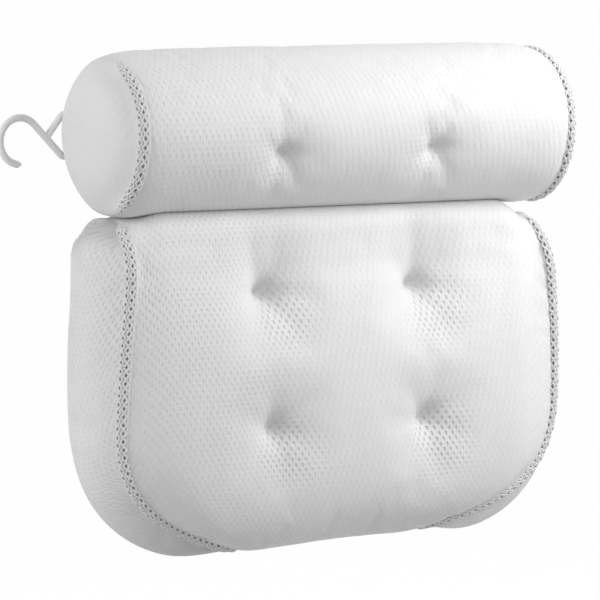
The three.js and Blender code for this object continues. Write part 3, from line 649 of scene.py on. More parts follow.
    def seam_line(self, hand, sink, proud=-0.0006, converge=0.02, tip_gap=0.0016, beyond=0.003):
        """Centre line of the binding up the front seam and down the rear one, with its outward side."""
        s = self.length * np.linspace(0, 1, 400) ** 2
        span = 1e-5
        tail_share = np.linspace(0, 1, 12)[1:]
        halves = []
        for face in (-1, 1):
            low, high = np.maximum(0, s - span), s + span
            slope = (self.seam_y(high, face) - self.seam_y(low, face)) / (high - low)
            norm = np.hypot(1, slope)
            x, z, nx, nz = self.outline(np.maximum(0, s + sink * face * slope / norm))
            y = self.seam_y(s, face) - sink * face / norm
            y = lerp(y, self.mid(s) + face * tip_gap, smooth(s, self.length - converge, self.length))
            out = proud - self.rear_inset(s) * (face > 0)
            line = np.stack([hand * (x + out * nx), y, z + out * nz], -1)
            line[:, 2] += self.left_shift(*line.T)
            side = np.stack([hand * nx, 0 * nx, nz], -1)
            tail = line[-1] + tail_share[:, None] * beyond * unit(line[-1] - line[-8])
            tail[:, 1] = lerp(tail[:, 1], self.bottom_y, tail_share)
            line = np.concatenate([line, tail])
            side = np.concatenate([side, np.repeat(side[-1:], len(tail), 0)])
            halves.append(np.concatenate([line, side], 1))
        return np.concatenate([halves[0][::-1], halves[1][1:]])


class RollShape:
    """The neck roll's pattern."""

    crown_power = 14  # how evenly the cover swells before it drops to the end seams
    sag_start = 0.76  # share of the half length at which the underside starts to droop
    valley_place = 0.88  # the dip beside an end seam, as shares of the seam's radius
    valley_width = 0.08
    valley_front = (-0.2, 0.8)  # how far round to the front the dip fades in

    def __init__(self, sizes, pucker):
        self.z = sizes
        self.pucker = pucker
        self.end = sizes.length / 2
        self.tuft_angle = np.pi + sizes.tuft_tilt

    def radius(self, x):
        return self.z.seam_radius + self.z.crown * (1 - np.abs(x / self.end) ** self.crown_power)

    def sag(self, x, downward):
        """How far the underside droops near the ends; downward is 1 straight below the middle."""
        return self.z.droop * smooth(np.abs(x), self.sag_start * self.end, self.end) * np.maximum(0, downward)

    def cover(self, x, angle):
        """A point of the cover; angle 0 is the back and a quarter turn the top. The back is flattened."""
        radius = self.radius(x)
        across = self.z.seam_radius * (angle - self.tuft_angle)
        for number, (_, hand) in enumerate(HANDS):
            away = np.hypot(x - hand * self.z.tuft_x, across)
            radius = radius - tuft_draw(away, self.z.tuft_depth, self.z.tuft_spread)
            fan = np.arctan2(across, x - hand * self.z.tuft_x)
            radius = radius - tuft_pucker(away, fan, self.z.tuft_spread, self.pucker, 7 - number, number)
        y = ROLL_Y + np.minimum(radius * np.cos(angle), self.z.seam_radius)
        return merged(x, y, ROLL_Z + radius * np.sin(angle) - self.sag(x, -np.sin(angle)))

    def cap(self, r, angle, hand):
        """A point of an end cap, at a distance from its middle."""
        part = r / self.z.seam_radius
        valley = np.exp(-((part - self.valley_place) / self.valley_width) ** 2)
        valley = valley * smooth(-np.cos(angle), *self.valley_front)
        x = self.end + self.z.cap_bulge * (1 - part ** 3) - self.z.cap_valley * valley
        z = ROLL_Z + r * np.sin(angle) - self.sag(self.end, -np.sin(angle)) * r / self.z.seam_radius
        return merged(hand * x, ROLL_Y + r * np.cos(angle), z)


SWELLING = {
    "quality": 4, "mass": 0.02, "tension_stiffness": 12, "compression_stiffness": 12, "shear_stiffness": 4,
    "bending_stiffness": 0.4, "use_pressure": True, "vertex_group_mass": "sewn",
}
SWELL_FRAMES = 20
LEAST_HOLD = 0.01  # weights below this leave the cloth free
TUFT_HOLD = (0.004, 0.016)  # distances up to which cloth is held fully and at all
EYELET_HOLD = (0.014, 0.024)
LOOP_HOLD = (0.022, 0.034)
TOP_HOLD = (0.010, 0.030)
UNDER_HOLD = (0.004, 0.014)


def mesh_points(mesh):
    flat = np.zeros(len(mesh.vertices) * 3)
    mesh.vertices.foreach_get("co", flat)
    return flat.reshape(-1, 3)


def swollen(piece, held, cloth):
    """Points of a cushion swollen by a cloth simulation, each kept near its pattern."""
    pattern = mesh_points(piece.data)
    sewn = piece.vertex_groups.new(name="sewn")
    for number in np.nonzero(held > LEAST_HOLD)[0]:
        sewn.add([int(number)], float(held[number]), "REPLACE")
    swelling = piece.modifiers.new("stuffing", "CLOTH")
    for name, value in SWELLING.items():
        setattr(swelling.settings, name, value)
    swelling.settings.uniform_pressure_force = cloth.pressure
    swelling.settings.shrink_min = -cloth.slack
    swelling.settings.effector_weights.gravity = 0
    swelling.collision_settings.use_collision = False
    swelling.point_cache.frame_start = 1
    swelling.point_cache.frame_end = SWELL_FRAMES
    scene = bpy.context.scene
    for number in range(1, SWELL_FRAMES + 1):
        scene.frame_set(number)
    ready = piece.evaluated_get(bpy.context.evaluated_depsgraph_get()).to_mesh()
    move = mesh_points(ready) - pattern
    piece.modifiers.remove(swelling)
    scene.frame_set(1)
    away = np.linalg.norm(move, axis=1, keepdims=True)
    if not np.isfinite(away).all():
        raise RuntimeError(f"{piece.name}: the stuffing simulation failed")
    return pattern + move * (cloth.travel * np.tanh(away / cloth.travel) / np.maximum(away, 1e-9))


def stuffed(piece, held, cloth):
    piece.data.vertices.foreach_set("co", swollen(piece, held, cloth).ravel())
    piece.vertex_groups.clear()
    refine = piece.modifiers.new("refine", "SUBSURF")
    refine.levels = refine.render_levels = 1
    refine.uv_smooth = "NONE"
    fine = bpy.data.meshes.new_from_object(piece.evaluated_get(bpy.context.evaluated_depsgraph_get()))
    piece.modifiers.clear()
    piece.data = fine
    fine.name = piece.name


def note_opening_and_shade(piece, values):
    """Notes at each point how far the cells of the air-mesh are drawn open, partly real and partly painted
    shade where the light grazes the cloth.
    """
    layer = piece.data.attributes.new("opening", "FLOAT", "POINT")
    layer.data.foreach_set("value", np.clip(values, 0, 1))


def fan_below(points, places, right, drop, spread):
    """Falls off from a place beside and below each tuft."""
    total = np.zeros(len(points))
    for place in places:
        across = points[:, 0] - place[0] - right
        down = points[:, 2] - place[2] + drop
        total = np.maximum(total, np.exp(-(across ** 2 + down ** 2) / spread ** 2))
    return total


def hold(points, places, core, fade):
    """Weights that hold cloth near sewn places and let go further off."""
    weight = np.zeros(len(points))
    for place in places:
        away = np.linalg.norm(points - np.asarray(place), axis=1)
        weight = np.maximum(weight, 1 - smooth(away, core, fade))
    return weight


# Finishes

class Nodes:
    """Adds and joins the nodes of one tree."""

    def __init__(self, tree):
        self.tree = tree

    def add(self, kind, **values):
        node = self.tree.nodes.new(kind)
        for name, value in values.items():
            setattr(node, name, value)
        return node

    def join(self, source, target):
        self.tree.links.new(source, target)

    def give(self, target, value):
        if isinstance(value, bpy.types.NodeSocket):
            self.join(value, target)
        else:
            target.default_value = value

    def math(self, operation, *values):
        node = self.add("ShaderNodeMath", operation=operation)
        for target, value in zip(node.inputs, values):
            self.give(target, value)
        return node.outputs[0]

    def range(self, value, low, high, to_low=0.0, to_high=1.0):
        node = self.add("ShaderNodeMapRange", interpolation_type="SMOOTHSTEP")
        labels = ("Value", "From Min", "From Max", "To Min", "To Max")
        for label, given in zip(labels, (value, low, high, to_low, to_high)):
            self.give(node.inputs[label], given)
        return node.outputs["Result"]

    def noise(self, vector, scale, detail=2.0):
        node = self.add("ShaderNodeTexNoise")
        node.inputs["Detail"].default_value = detail
        self.give(node.inputs["Scale"], scale)
        self.join(vector, node.inputs["Vector"])
        return node.outputs["Fac"]

    def cloth(self):
        """The cloth coordinates and their two axes."""
        cloth = self.add("ShaderNodeUVMap", uv_map="cloth").outputs[0]
        axes = self.add("ShaderNodeSeparateXYZ")
        self.join(cloth, axes.inputs[0])
        return cloth, axes.outputs["X"], axes.outputs["Y"]

    def slanted(self, value, other, slant):
        return self.math("ADD", value, self.math("MULTIPLY", other, slant))

    def wave(self, kind, value, pitch, half_turns=2):
        """A sine or cosine with a number of half turns in each pitch."""
        return self.math(kind, self.math("DIVIDE", self.math("MULTIPLY", value, half_turns * math.pi), pitch))

    def seen_directly(self):
        """One where a ray comes from the camera, a glossy piece or a clear one."""
        seen = self.add("ShaderNodeLightPath").outputs
        direct = self.math("MAXIMUM", seen["Is Camera Ray"], seen["Is Glossy Ray"])
        return self.math("MAXIMUM", direct, seen["Is Transmission Ray"])

    def show(self, share, first, second, output):
        """Mixes two shaders and shows them."""
        both = self.add("ShaderNodeMixShader")
        for target, source in zip(both.inputs, (share, first.outputs[0], second.outputs[0])):
            self.join(source, target)
        self.join(both.outputs[0], self.tree.nodes[output].inputs["Surface"])

    def mix(self, share, low, high):
        node = self.add("ShaderNodeMix", data_type="RGBA")
        self.give(node.inputs["Factor"], share)
        self.give(node.inputs["A"], low if isinstance(low, bpy.types.NodeSocket) else (*low, 1))
        self.give(node.inputs["B"], high if isinstance(high, bpy.types.NodeSocket) else (*high, 1))
        return node.outputs["Result"]


def made_once(kind):
    """Lets a maker of a named material or group find again what it has made."""
    def wrap(make):
        def find(name, *values, **settings):
            return getattr(bpy.data, kind).get(name) or make(name, *values, **settings)
        return find
    return wrap


def new_group(name, inputs, outputs):
    """An empty shader group with float inputs and outputs."""
    tree = bpy.data.node_groups.new(name, "ShaderNodeTree")
    for label, default in inputs:
        socket = tree.interface.new_socket(label, in_out="INPUT", socket_type="NodeSocketFloat")
        socket.default_value = default
    for label in outputs:
        tree.interface.new_socket(label, in_out="OUTPUT", socket_type="NodeSocketFloat")
    nodes = Nodes(tree)
    return tree, nodes, nodes.add("NodeGroupInput").outputs, nodes.add("NodeGroupOutput").inputs


@made_once("node_groups")
def air_mesh_weave(name):
    """Staggered open cells of warp-knitted air-mesh, from the cloth coordinates."""
    inputs = (("Column pitch", 0.0053), ("Row pitch", 0.0039), ("Opening", 1.0), ("Ribs", 0.3))
    tree, nodes, given, result = new_group(name, inputs, ("Holes", "Relief", "Shade"))
    waver_width, yarn_pitch, yarn_height, yarn_slant, rib_slant = 0.0022, 0.0008, 0.06, 0.6, 0.25
    waver_scale, patch_scale, shade_scale = 45, 17, 9
    cloth, across, down = nodes.cloth()
    waver = nodes.math("MULTIPLY", nodes.math("SUBTRACT", nodes.noise(cloth, waver_scale), 0.5), waver_width)
    across, down = nodes.math("ADD", across, waver), nodes.math("ADD", down, waver)
    columns = nodes.wave("COSINE", across, given["Column pitch"])
    cell = nodes.math("MULTIPLY", columns, nodes.wave("COSINE", down, given["Row pitch"], 1))
    patches = nodes.range(nodes.noise(cloth, patch_scale), 0.36, 0.66, 0.6, 1.0)
    open_share = nodes.math("MULTIPLY", patches, given["Opening"])
    holes = nodes.math("MULTIPLY", nodes.range(cell, 0.1, 0.85), open_share)
    nodes.join(holes, result["Holes"])
    yarn = nodes.math("MULTIPLY", nodes.slanted(across, down, yarn_slant), 2 * math.pi / yarn_pitch)
    relief = nodes.math("SUBTRACT", nodes.math("MULTIPLY", nodes.math("SINE", yarn), yarn_height), holes)
    ribs = nodes.wave("SINE", nodes.slanted(across, down, rib_slant), given["Column pitch"])
    closed = nodes.math("MULTIPLY", nodes.math("SUBTRACT", 1.0, open_share), given["Ribs"])
    nodes.join(nodes.math("ADD", relief, nodes.math("MULTIPLY", ribs, closed)), result["Relief"])
    nodes.join(nodes.range(nodes.noise(cloth, shade_scale, 4), 0.3, 0.7), result["Shade"])
    return tree


@made_once("node_groups")
def twisted_yarn(name):
    """Slanting plies of a twisted yarn, from the cloth coordinates of a strand."""
    fuzz_scale = 2600
    inputs = (("Ply pitch", 0.0009), ("Slant", 0.8))
    tree, nodes, given, result = new_group(name, inputs, ("Plies", "Fuzz"))
    cloth, across, along = nodes.cloth()
    wave = nodes.wave("SINE", nodes.slanted(along, across, given["Slant"]), given["Ply pitch"])
    nodes.join(nodes.range(wave, -1.0, 1.0), result["Plies"])
    nodes.join(nodes.noise(cloth, fuzz_scale, 3), result["Fuzz"])
    return tree


@made_once("node_groups")
def handled_surface(name):
    """Slow and fine unevenness of a moulded surface that has been handled."""
    inputs = (("Smear scale", 60.0), ("Grain scale", 1400.0))
    tree, nodes, given, result = new_group(name, inputs, ("Smears", "Grain"))
    place = nodes.add("ShaderNodeTexCoord").outputs["Object"]
    for label, source in (("Smears", "Smear scale"), ("Grain", "Grain scale")):
        nodes.join(nodes.range(nodes.noise(place, given[source], 3), 0.3, 0.7), result[label])
    return tree


def new_material(name, roughness, **settings):
    """A material with one Principled shader; settings are plain values of its sockets."""
    material = bpy.data.materials.new(name)
    material.use_nodes = True
    nodes = Nodes(material.node_tree)
    shader = material.node_tree.nodes["Principled BSDF"]
    shader.inputs["Roughness"].default_value = roughness
    for label, value in settings.items():
        shader.inputs[label.replace("_", " ")].default_value = value
    return material, nodes, shader


def place_group(nodes, tree, **values):
    """Adds a group to a material; a value may be a number or another node's output."""
    node = nodes.add("ShaderNodeGroup", node_tree=tree)
    for label, value in values.items():
        nodes.give(node.inputs[label.replace("_", " ")], value)
    return node.outputs


def darker(colour, share_left):
    return [c * share_left for c in colour]


def coloured(nodes, shader, colour, rough_source, smooth_rough, dull_rough):
    """Gives a shader its colour, and a roughness that follows a mask."""
    nodes.join(colour, shader.inputs["Base Color"])
    nodes.join(nodes.range(rough_source, 0, 1, smooth_rough, dull_rough), shader.inputs["Roughness"])


def raised(nodes, shader, height, distance):
    bump = nodes.add("ShaderNodeBump")
    bump.inputs["Strength"].default_value = 1
    bump.inputs["Distance"].default_value = distance
    nodes.join(height, bump.inputs["Height"])
    nodes.join(bump.outputs[0], shader.inputs["Normal"])


@made_once("materials")
def air_mesh(name, settings, ribs, depth=0.0010):
    look, cloth = settings.finish, settings.cloth
    material, nodes, shader = new_material(
        name, 0.55, Sheen_Weight=0.08, Sheen_Roughness=0.5, Specular_IOR_Level=0.6
    )
    opening = nodes.add("ShaderNodeAttribute", attribute_name="opening").outputs["Fac"]
    weave = place_group(
        nodes, air_mesh_weave("Air-mesh weave"),
        Column_pitch=cloth.column_pitch, Row_pitch=cloth.row_pitch, Ribs=ribs, Opening=opening,
    )
    yarn = nodes.mix(weave["Shade"], darker(look.air_mesh, 0.97), list(look.air_mesh))
    # painted shade: the holes are mixed towards the darker hole colour, which stands for the shade inside
    # them, and the attribute read above lays more of them where the light grazes the cloth
    colour = nodes.mix(weave["Holes"], yarn, list(look.air_mesh_hole))
    coloured(nodes, shader, colour, weave["Holes"], 0.5, 0.7)
    raised(nodes, shader, weave["Relief"], depth)
    return material


def air_meshes(settings):
    """The ribbed mesh of the covers and the plainer one of side panels and end caps."""
    return air_mesh("air_mesh_cover", settings, ribs=0.10), air_mesh("air_mesh_side", settings, ribs=0.06)


@made_once("materials")
def yarn_finish(name, colour, pitch, slant, depth, dark=0.72):
    material, nodes, shader = new_material(name, 0.8, Sheen_Weight=0.1, Specular_IOR_Level=0.25)
    plies = place_group(nodes, twisted_yarn("Twisted yarn"), Ply_pitch=pitch, Slant=slant)
    tone = nodes.mix(plies["Plies"], darker(colour, dark), list(colour))
    fuzzy = nodes.mix(nodes.math("MULTIPLY", plies["Fuzz"], 0.2), tone, darker(colour, 0.85))
    coloured(nodes, shader, fuzzy, plies["Fuzz"], 0.7, 0.95)
    raised(nodes, shader, plies["Plies"], depth)
    return material


def sewing_thread(settings):
    return yarn_finish("sewing_thread", settings.finish.thread, 0.0007, 1.2, 0.00008)


@made_once("materials")
def moulded(name, colour, rough, **settings):
    material, nodes, shader = new_material(name, rough, **settings)
    worn = place_group(nodes, handled_surface("Handled surface"))
    smeared = nodes.mix(worn["Smears"], darker(colour, 0.96), list(colour))
    coloured(nodes, shader, smeared, worn["Smears"], rough * 0.8, rough * 1.25)
    raised(nodes, shader, worn["Grain"], 0.00002)
    return material


def finished(piece, body, slot, *nodes):
    """Sets a piece on its body and hides the solids it stands for; the slot is not used."""
    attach(piece, body)
    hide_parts(*nodes)


# Operators

class PILLOW_OT_stage(bpy.types.Operator):
    """Floor, camera, lamps and room light"""

    bl_idname = "pillow.stage"
    bl_label = "Stage"

    def execute(self, context):
        settings = context.scene.pillow
        studio = settings.studio
        scene = context.scene
        scene.view_settings.view_transform = "Standard"
        self.camera(scene, studio)
        self.floor(settings)
        self.lamps(scene, studio)
        self.room(scene, studio)
        return {"FINISHED"}

    def camera(self, scene, studio):
        a, e = -studio.azimuth, studio.elevation
        look = Vector((math.sin(a) * math.cos(e), math.cos(a) * math.cos(e), -math.sin(e)))
        right = Vector((math.cos(a), -math.sin(a), 0))
        up = right.cross(look)
        height, aim_left, aim_down = 0.0015, 0.0161, 0.0687
        origin = Vector((0, ROLL_Y, height))
        target = origin - aim_left * right - aim_down * up
        data = bpy.data.cameras.new("camera")
        data.lens = studio.lens
        data.sensor_width = 36
        data.clip_end = 200
        scene.camera = self.aimed(scene, "camera", data, origin - studio.distance * look, target)

    def aimed(self, scene, name, data, place, target):
        """Sets up a camera or a lamp that looks at a target."""
        made = bpy.data.objects.new(name, data)
        made.location = place
        made.rotation_mode = "QUATERNION"
        made.rotation_quaternion = (target - made.location).to_track_quat("-Z", "Y")
        scene.collection.objects.link(made)
        return made

    def floor(self, settings):
        """A grey floor that shows as white and only takes a faint shadow."""
        level = PANEL_TOP - settings.panel.height - settings.studio.floor_drop
        half, steps, glow, glow_share = 60, 12, 1.03, 0.95
        across = np.linspace(-half, half, steps)
        grid = merged(across[None, :], across[:, None], level)
        pattern = Pattern()
        pattern.quads(pattern.add(grid), grid[..., :2])
        material, nodes, shader = new_material("floor", 0.9)
        speckle = nodes.noise(nodes.add("ShaderNodeTexCoord").outputs["Object"], 30, 3)
        colour = list(settings.finish.floor)
        nodes.join(nodes.mix(speckle, darker(colour, 0.985), colour), shader.inputs["Base Color"])
        white = nodes.add("ShaderNodeEmission")
        white.inputs["Strength"].default_value = glow
        seen = nodes.math("MULTIPLY", nodes.seen_directly(), glow_share)
        nodes.show(seen, shader, white, "Material Output")
        pattern.piece("floor", material)

    def lamps(self, scene, studio):
        centre = Vector((0, ROLL_Y, -0.06))
        for name, place, width, power in (
            ("key_lamp", (0.55, -0.65, 0.45), 0.5, studio.key),
            ("side_lamp", (-2.4, -0.05, 0.6), 1.4, studio.fill),
        ):
            data = bpy.data.lights.new(name, "AREA")
            data.size = width
            data.energy = power
            self.aimed(scene, name, data, place, centre)

    def room(self, scene, studio):
        """Even light from all round, seen as white."""
        world = bpy.data.worlds.new("room")
        scene.world = world
        world.use_nodes = True
        nodes = Nodes(world.node_tree)
        light = world.node_tree.nodes["Background"]
        white = nodes.add("ShaderNodeBackground")
        light.inputs["Strength"].default_value = studio.room
        for shader in (light, white):
            shader.inputs["Color"].default_value = (1, 1, 1, 1)
        nodes.show(nodes.seen_directly(), light, white, "World Output")


class PILLOW_OT_panel(bpy.types.Operator):
    """Stuffed back panel: front and rear covers and the two side panels, sewn into one cushion"""

    bl_idname = "pillow.panel"
    bl_label = "Back panel"

    def execute(self, context):
        settings = context.scene.pillow
        sizes = settings.panel
        shape = PanelShape(sizes, settings.cloth.pucker)
        t = np.linspace(0, 1, sizes.rows + 1)
        s = (shape.length * lerp(t ** 1.5, 1 - (1 - t) ** 1.5, t))[:, None]
        step = np.linspace(-1, 1, sizes.columns + 1)[None, :]
        cells = np.linspace(-1, 1, sizes.side_cells + 1)[None, 1:-1]

        def ring(tufted):
            return np.concatenate([
                shape.cover(s, step, -1, tufted),
                shape.side_panel(s, cells, 1),
                shape.cover(s, -step, 1, tufted),
                shape.side_panel(s, -cells, -1),
            ], axis=1)

        pattern = Pattern()
        points = ring(True)
        numbers = looped(pattern.add(points))
        plain = looped(ring(False))
        across = run_length(plain)
        across = across - across[:, [sizes.columns // 2]]
        cloth = np.stack([across, run_length(plain.transpose(1, 0, 2)).T], -1)
        front, sides = sizes.columns, sizes.side_cells
        stops = np.cumsum([0, front, sides, front, sides])
        for finish, start, end in zip((0, 1, 0, 1), stops[:-1], stops[1:]):
            pattern.quads(numbers[:, start:end + 1], cloth[:, start:end + 1], finish)
        rear = slice(stops[2], stops[3] + 1)
        for row in (0, -1):
            pairs = np.stack([numbers[row, :front + 1], numbers[row, rear][::-1]])
            pattern.quads(pairs, np.stack([cloth[row, :front + 1], cloth[row, rear][::-1]]))
            for start in (stops[3], stops[1]):
                edge = numbers[row, start:start + sides + 1]
                pattern.face(edge, [(0, 0)] * len(edge), 1)
        piece = pattern.piece("panel_cushion", *air_meshes(settings))

        flat = points.reshape(-1, 3)
        tufts = [shape.tuft_point(x, z) for _, x, z, _ in shape.tufts()]
        note_opening_and_shade(piece, self.opening(flat, tufts))
        eyelets = [behind(f"panel_eyelet_{level}_{name}") for level in LEVELS for name, _ in HANDS]
        held = np.maximum(hold(flat, tufts, *TUFT_HOLD), hold(flat, eyelets, *EYELET_HOLD))
        held = np.maximum(held, 1 - smooth(PANEL_TOP - flat[:, 2], *TOP_HOLD))
        seams = np.zeros(points.shape[:2])
        seams[[0, -1]] = 1
        for column in (0, front, front + sides, 2 * front + sides):
            seams[:, column] = 1
        stuffed(piece, np.maximum(held, seams.ravel()), settings.cloth)
        finished(
            piece, "panel", "air_mesh", "panel_front_cover", "panel_rear_cover",
            "panel_gusset_left", "panel_gusset_right", "panel_filling",
        )
        return {"FINISHED"}

    def opening(self, points, tufts):
        """Beside and below the tufts the cells open where the cloth is drawn in. Towards the left of the
        front and on the left side panel, less so lower down, more holes show as painted shade where the light
        grazes the cloth.
        """
        least, front_gain, side_gain, lower_loss, fan_gain = 0.18, 0.32, 0.30, 0.6, 1.25
        x, y, z = points.T
        front = smooth(-y, 0.060, 0.080)
        left = smooth(-x, 0.03, 0.13) * (1 - smooth(-x, 0.176, 0.186))
        side = smooth(-x, 0.182, 0.192)
        upper = 1 - lower_loss * smooth(PANEL_TOP - z, 0.12, 0.20)
        opening = least + front_gain * left * front * upper + side_gain * side * upper
        return np.maximum(opening, fan_gain * front * fan_below(points, tufts, 0.010, 0.016, 0.026))


class PILLOW_OT_roll(bpy.types.Operator):
    """Stuffed neck roll: cover and two domed end caps, sewn into one cushion"""

    bl_idname = "pillow.roll"
    bl_label = "Neck roll"
    cap_rings = np.array([0.95, 0.88, 0.8, 0.7, 0.6, 0.5, 0.4, 0.3, 0.2, 0.1, 0.05, 0.02])

    def execute(self, context):
        settings = context.scene.pillow
        sizes = settings.roll
        shape = RollShape(sizes, settings.cloth.pucker)
        x = (np.linspace(-1, 1, sizes.columns + 1) * shape.end)[:, None]
        angle = (shape.tuft_angle + (np.arange(sizes.sides) / sizes.sides - 0.5) * 2 * np.pi)[None, :]
        pattern = Pattern()
        points = shape.cover(x, angle)
        numbers = looped(pattern.add(points))
        around = np.append(angle[0], angle[0, 0] + 2 * np.pi) * sizes.seam_radius
        pattern.quads(numbers, merged(x, -around[None, :]))
        for row, hand in ((0, -1), (-1, 1)):
            rings = shape.cap(self.cap_rings[:, None] * sizes.seam_radius, angle, hand)
            cap = np.concatenate([numbers[row][None], looped(pattern.add(rings))])
            cap_points = looped(np.concatenate([points[row][None], rings]))
            cap_cloth = cap_points[..., 1:] - np.array([ROLL_Y, ROLL_Z])
            pattern.quads(cap, cap_cloth, 1)
            pole = pattern.add(shape.cap(np.zeros(1), np.zeros(1), hand))[0]
            pattern.fan(cap[-1], cap_cloth[-1], pole, np.zeros(2), 1)
        piece = pattern.piece("roll_cushion", *air_meshes(settings))

        flat = np.concatenate(pattern.points)
        tufts = [shape.cover(hand * sizes.tuft_x, shape.tuft_angle) for _, hand in HANDS]
        note_opening_and_shade(piece, self.opening(flat, tufts, shape.end))
        eyelets = [behind(f"roll_eyelet_{name}") for name, _ in HANDS]
        held = np.maximum(hold(flat, tufts, *TUFT_HOLD), hold(flat, eyelets, *EYELET_HOLD))
        held = np.maximum(held, hold(flat, [behind("hook_loop")], *LOOP_HOLD))
        above = flat[:, 2] - (ROLL_Z - sizes.seam_radius - sizes.crown)
        held = np.maximum(held, 1 - smooth(above, *UNDER_HOLD))
        held[numbers[[0, -1], :-1].ravel()] = 1
        held[points[..., 0].size:] = 1
        stuffed(piece, held, settings.cloth)
        finished(
            piece, "roll", "air_mesh", "roll_cover", "roll_filling",
            "roll_end_cap_left", "roll_end_cap_right",
        )
        return {"FINISHED"}

    def opening(self, points, tufts, end):
        """Beside the tufts the cells open where the cloth is drawn in, and they close at the end seams.
        Towards the left more holes show as painted shade where the light grazes the cloth.
        """
        least, right_gain, left_gain, fan_gain, seam = 0.10, 0.05, 0.24, 0.8, 0.012
        x, y, _ = points.T
        inner = 1 - smooth(np.abs(x), end - seam, end)
        opening = least + inner * lerp(right_gain, left_gain, smooth(-x, 0.02, 0.12))
        front = smooth(ROLL_Y - y, 0, 0.02)
        return np.maximum(opening, fan_gain * front * fan_below(points, tufts, -0.012, 0.006, 0.022))


BORDER_PAST = math.radians(16)  # how far the borders lie past the strands' swing
BORDER_SINK = 0.98  # share of the strands' radius at which they lie
STRAND_LIFT = 0.00025  # how far crossing strands pass over and under each other
STRAND_BEND = 0.96  # below 1 the strands turn back in a curve
ROW_OFFSET, ROW_REACH = 0.46, 0.5  # middle and half width of a row, as shares of the swing


def open_work(pattern, line, side, edge, sizes, scale, closed, turned_by):
    """Adds binding along a line.

    A rolled tape carries two staggered rows of crossing strands and a cord along each border. The tape's
    darker grey is painted shade, for the shadow in the holes.
    """
    out, over = unit(edge + side), unit(edge - side)
    count = len(line)
    length = run_length(line)[-1] + (np.linalg.norm(line[0] - line[-1]) if closed else 0)
    cells = max(4, 2 * round(length / sizes.pitch / 2))
    phase = np.arange(count) / (count if closed else count - 1) * cells * np.pi

    def lay(angle, reach, radius, sides, finish):
        angle = np.broadcast_to(angle + turned_by, (count,))[:, None]
        way = np.cos(angle) * out + np.sin(angle) * over
        path = line + way * (reach * scale)[:, None]
        strand(pattern, path, way, radius * np.sqrt(scale), sides, closed, finish)

    # painted shade: the core carries the darker tape finish, the shadow seen through the holes
    lay(0.0, 0.0, sizes.core, 12, 1)
    for row in (-1, 1):
        start = phase + row * np.pi / 4
        wave = 2 / np.pi * np.arcsin(STRAND_BEND * np.cos(start))
        weave = STRAND_LIFT * np.sin(2 * start)
        for sign in (-1, 1):
            swing = sizes.swing * (ROW_OFFSET * row + ROW_REACH * sign * wave)
            lay(swing, sizes.radius + sign * weave, sizes.strand, 6, 0)
    for border, cord in ((1, sizes.edge_cord), (-1, sizes.side_cord)):
        lay(border * (sizes.swing + BORDER_PAST), sizes.radius * BORDER_SINK, cord, 8, 0)


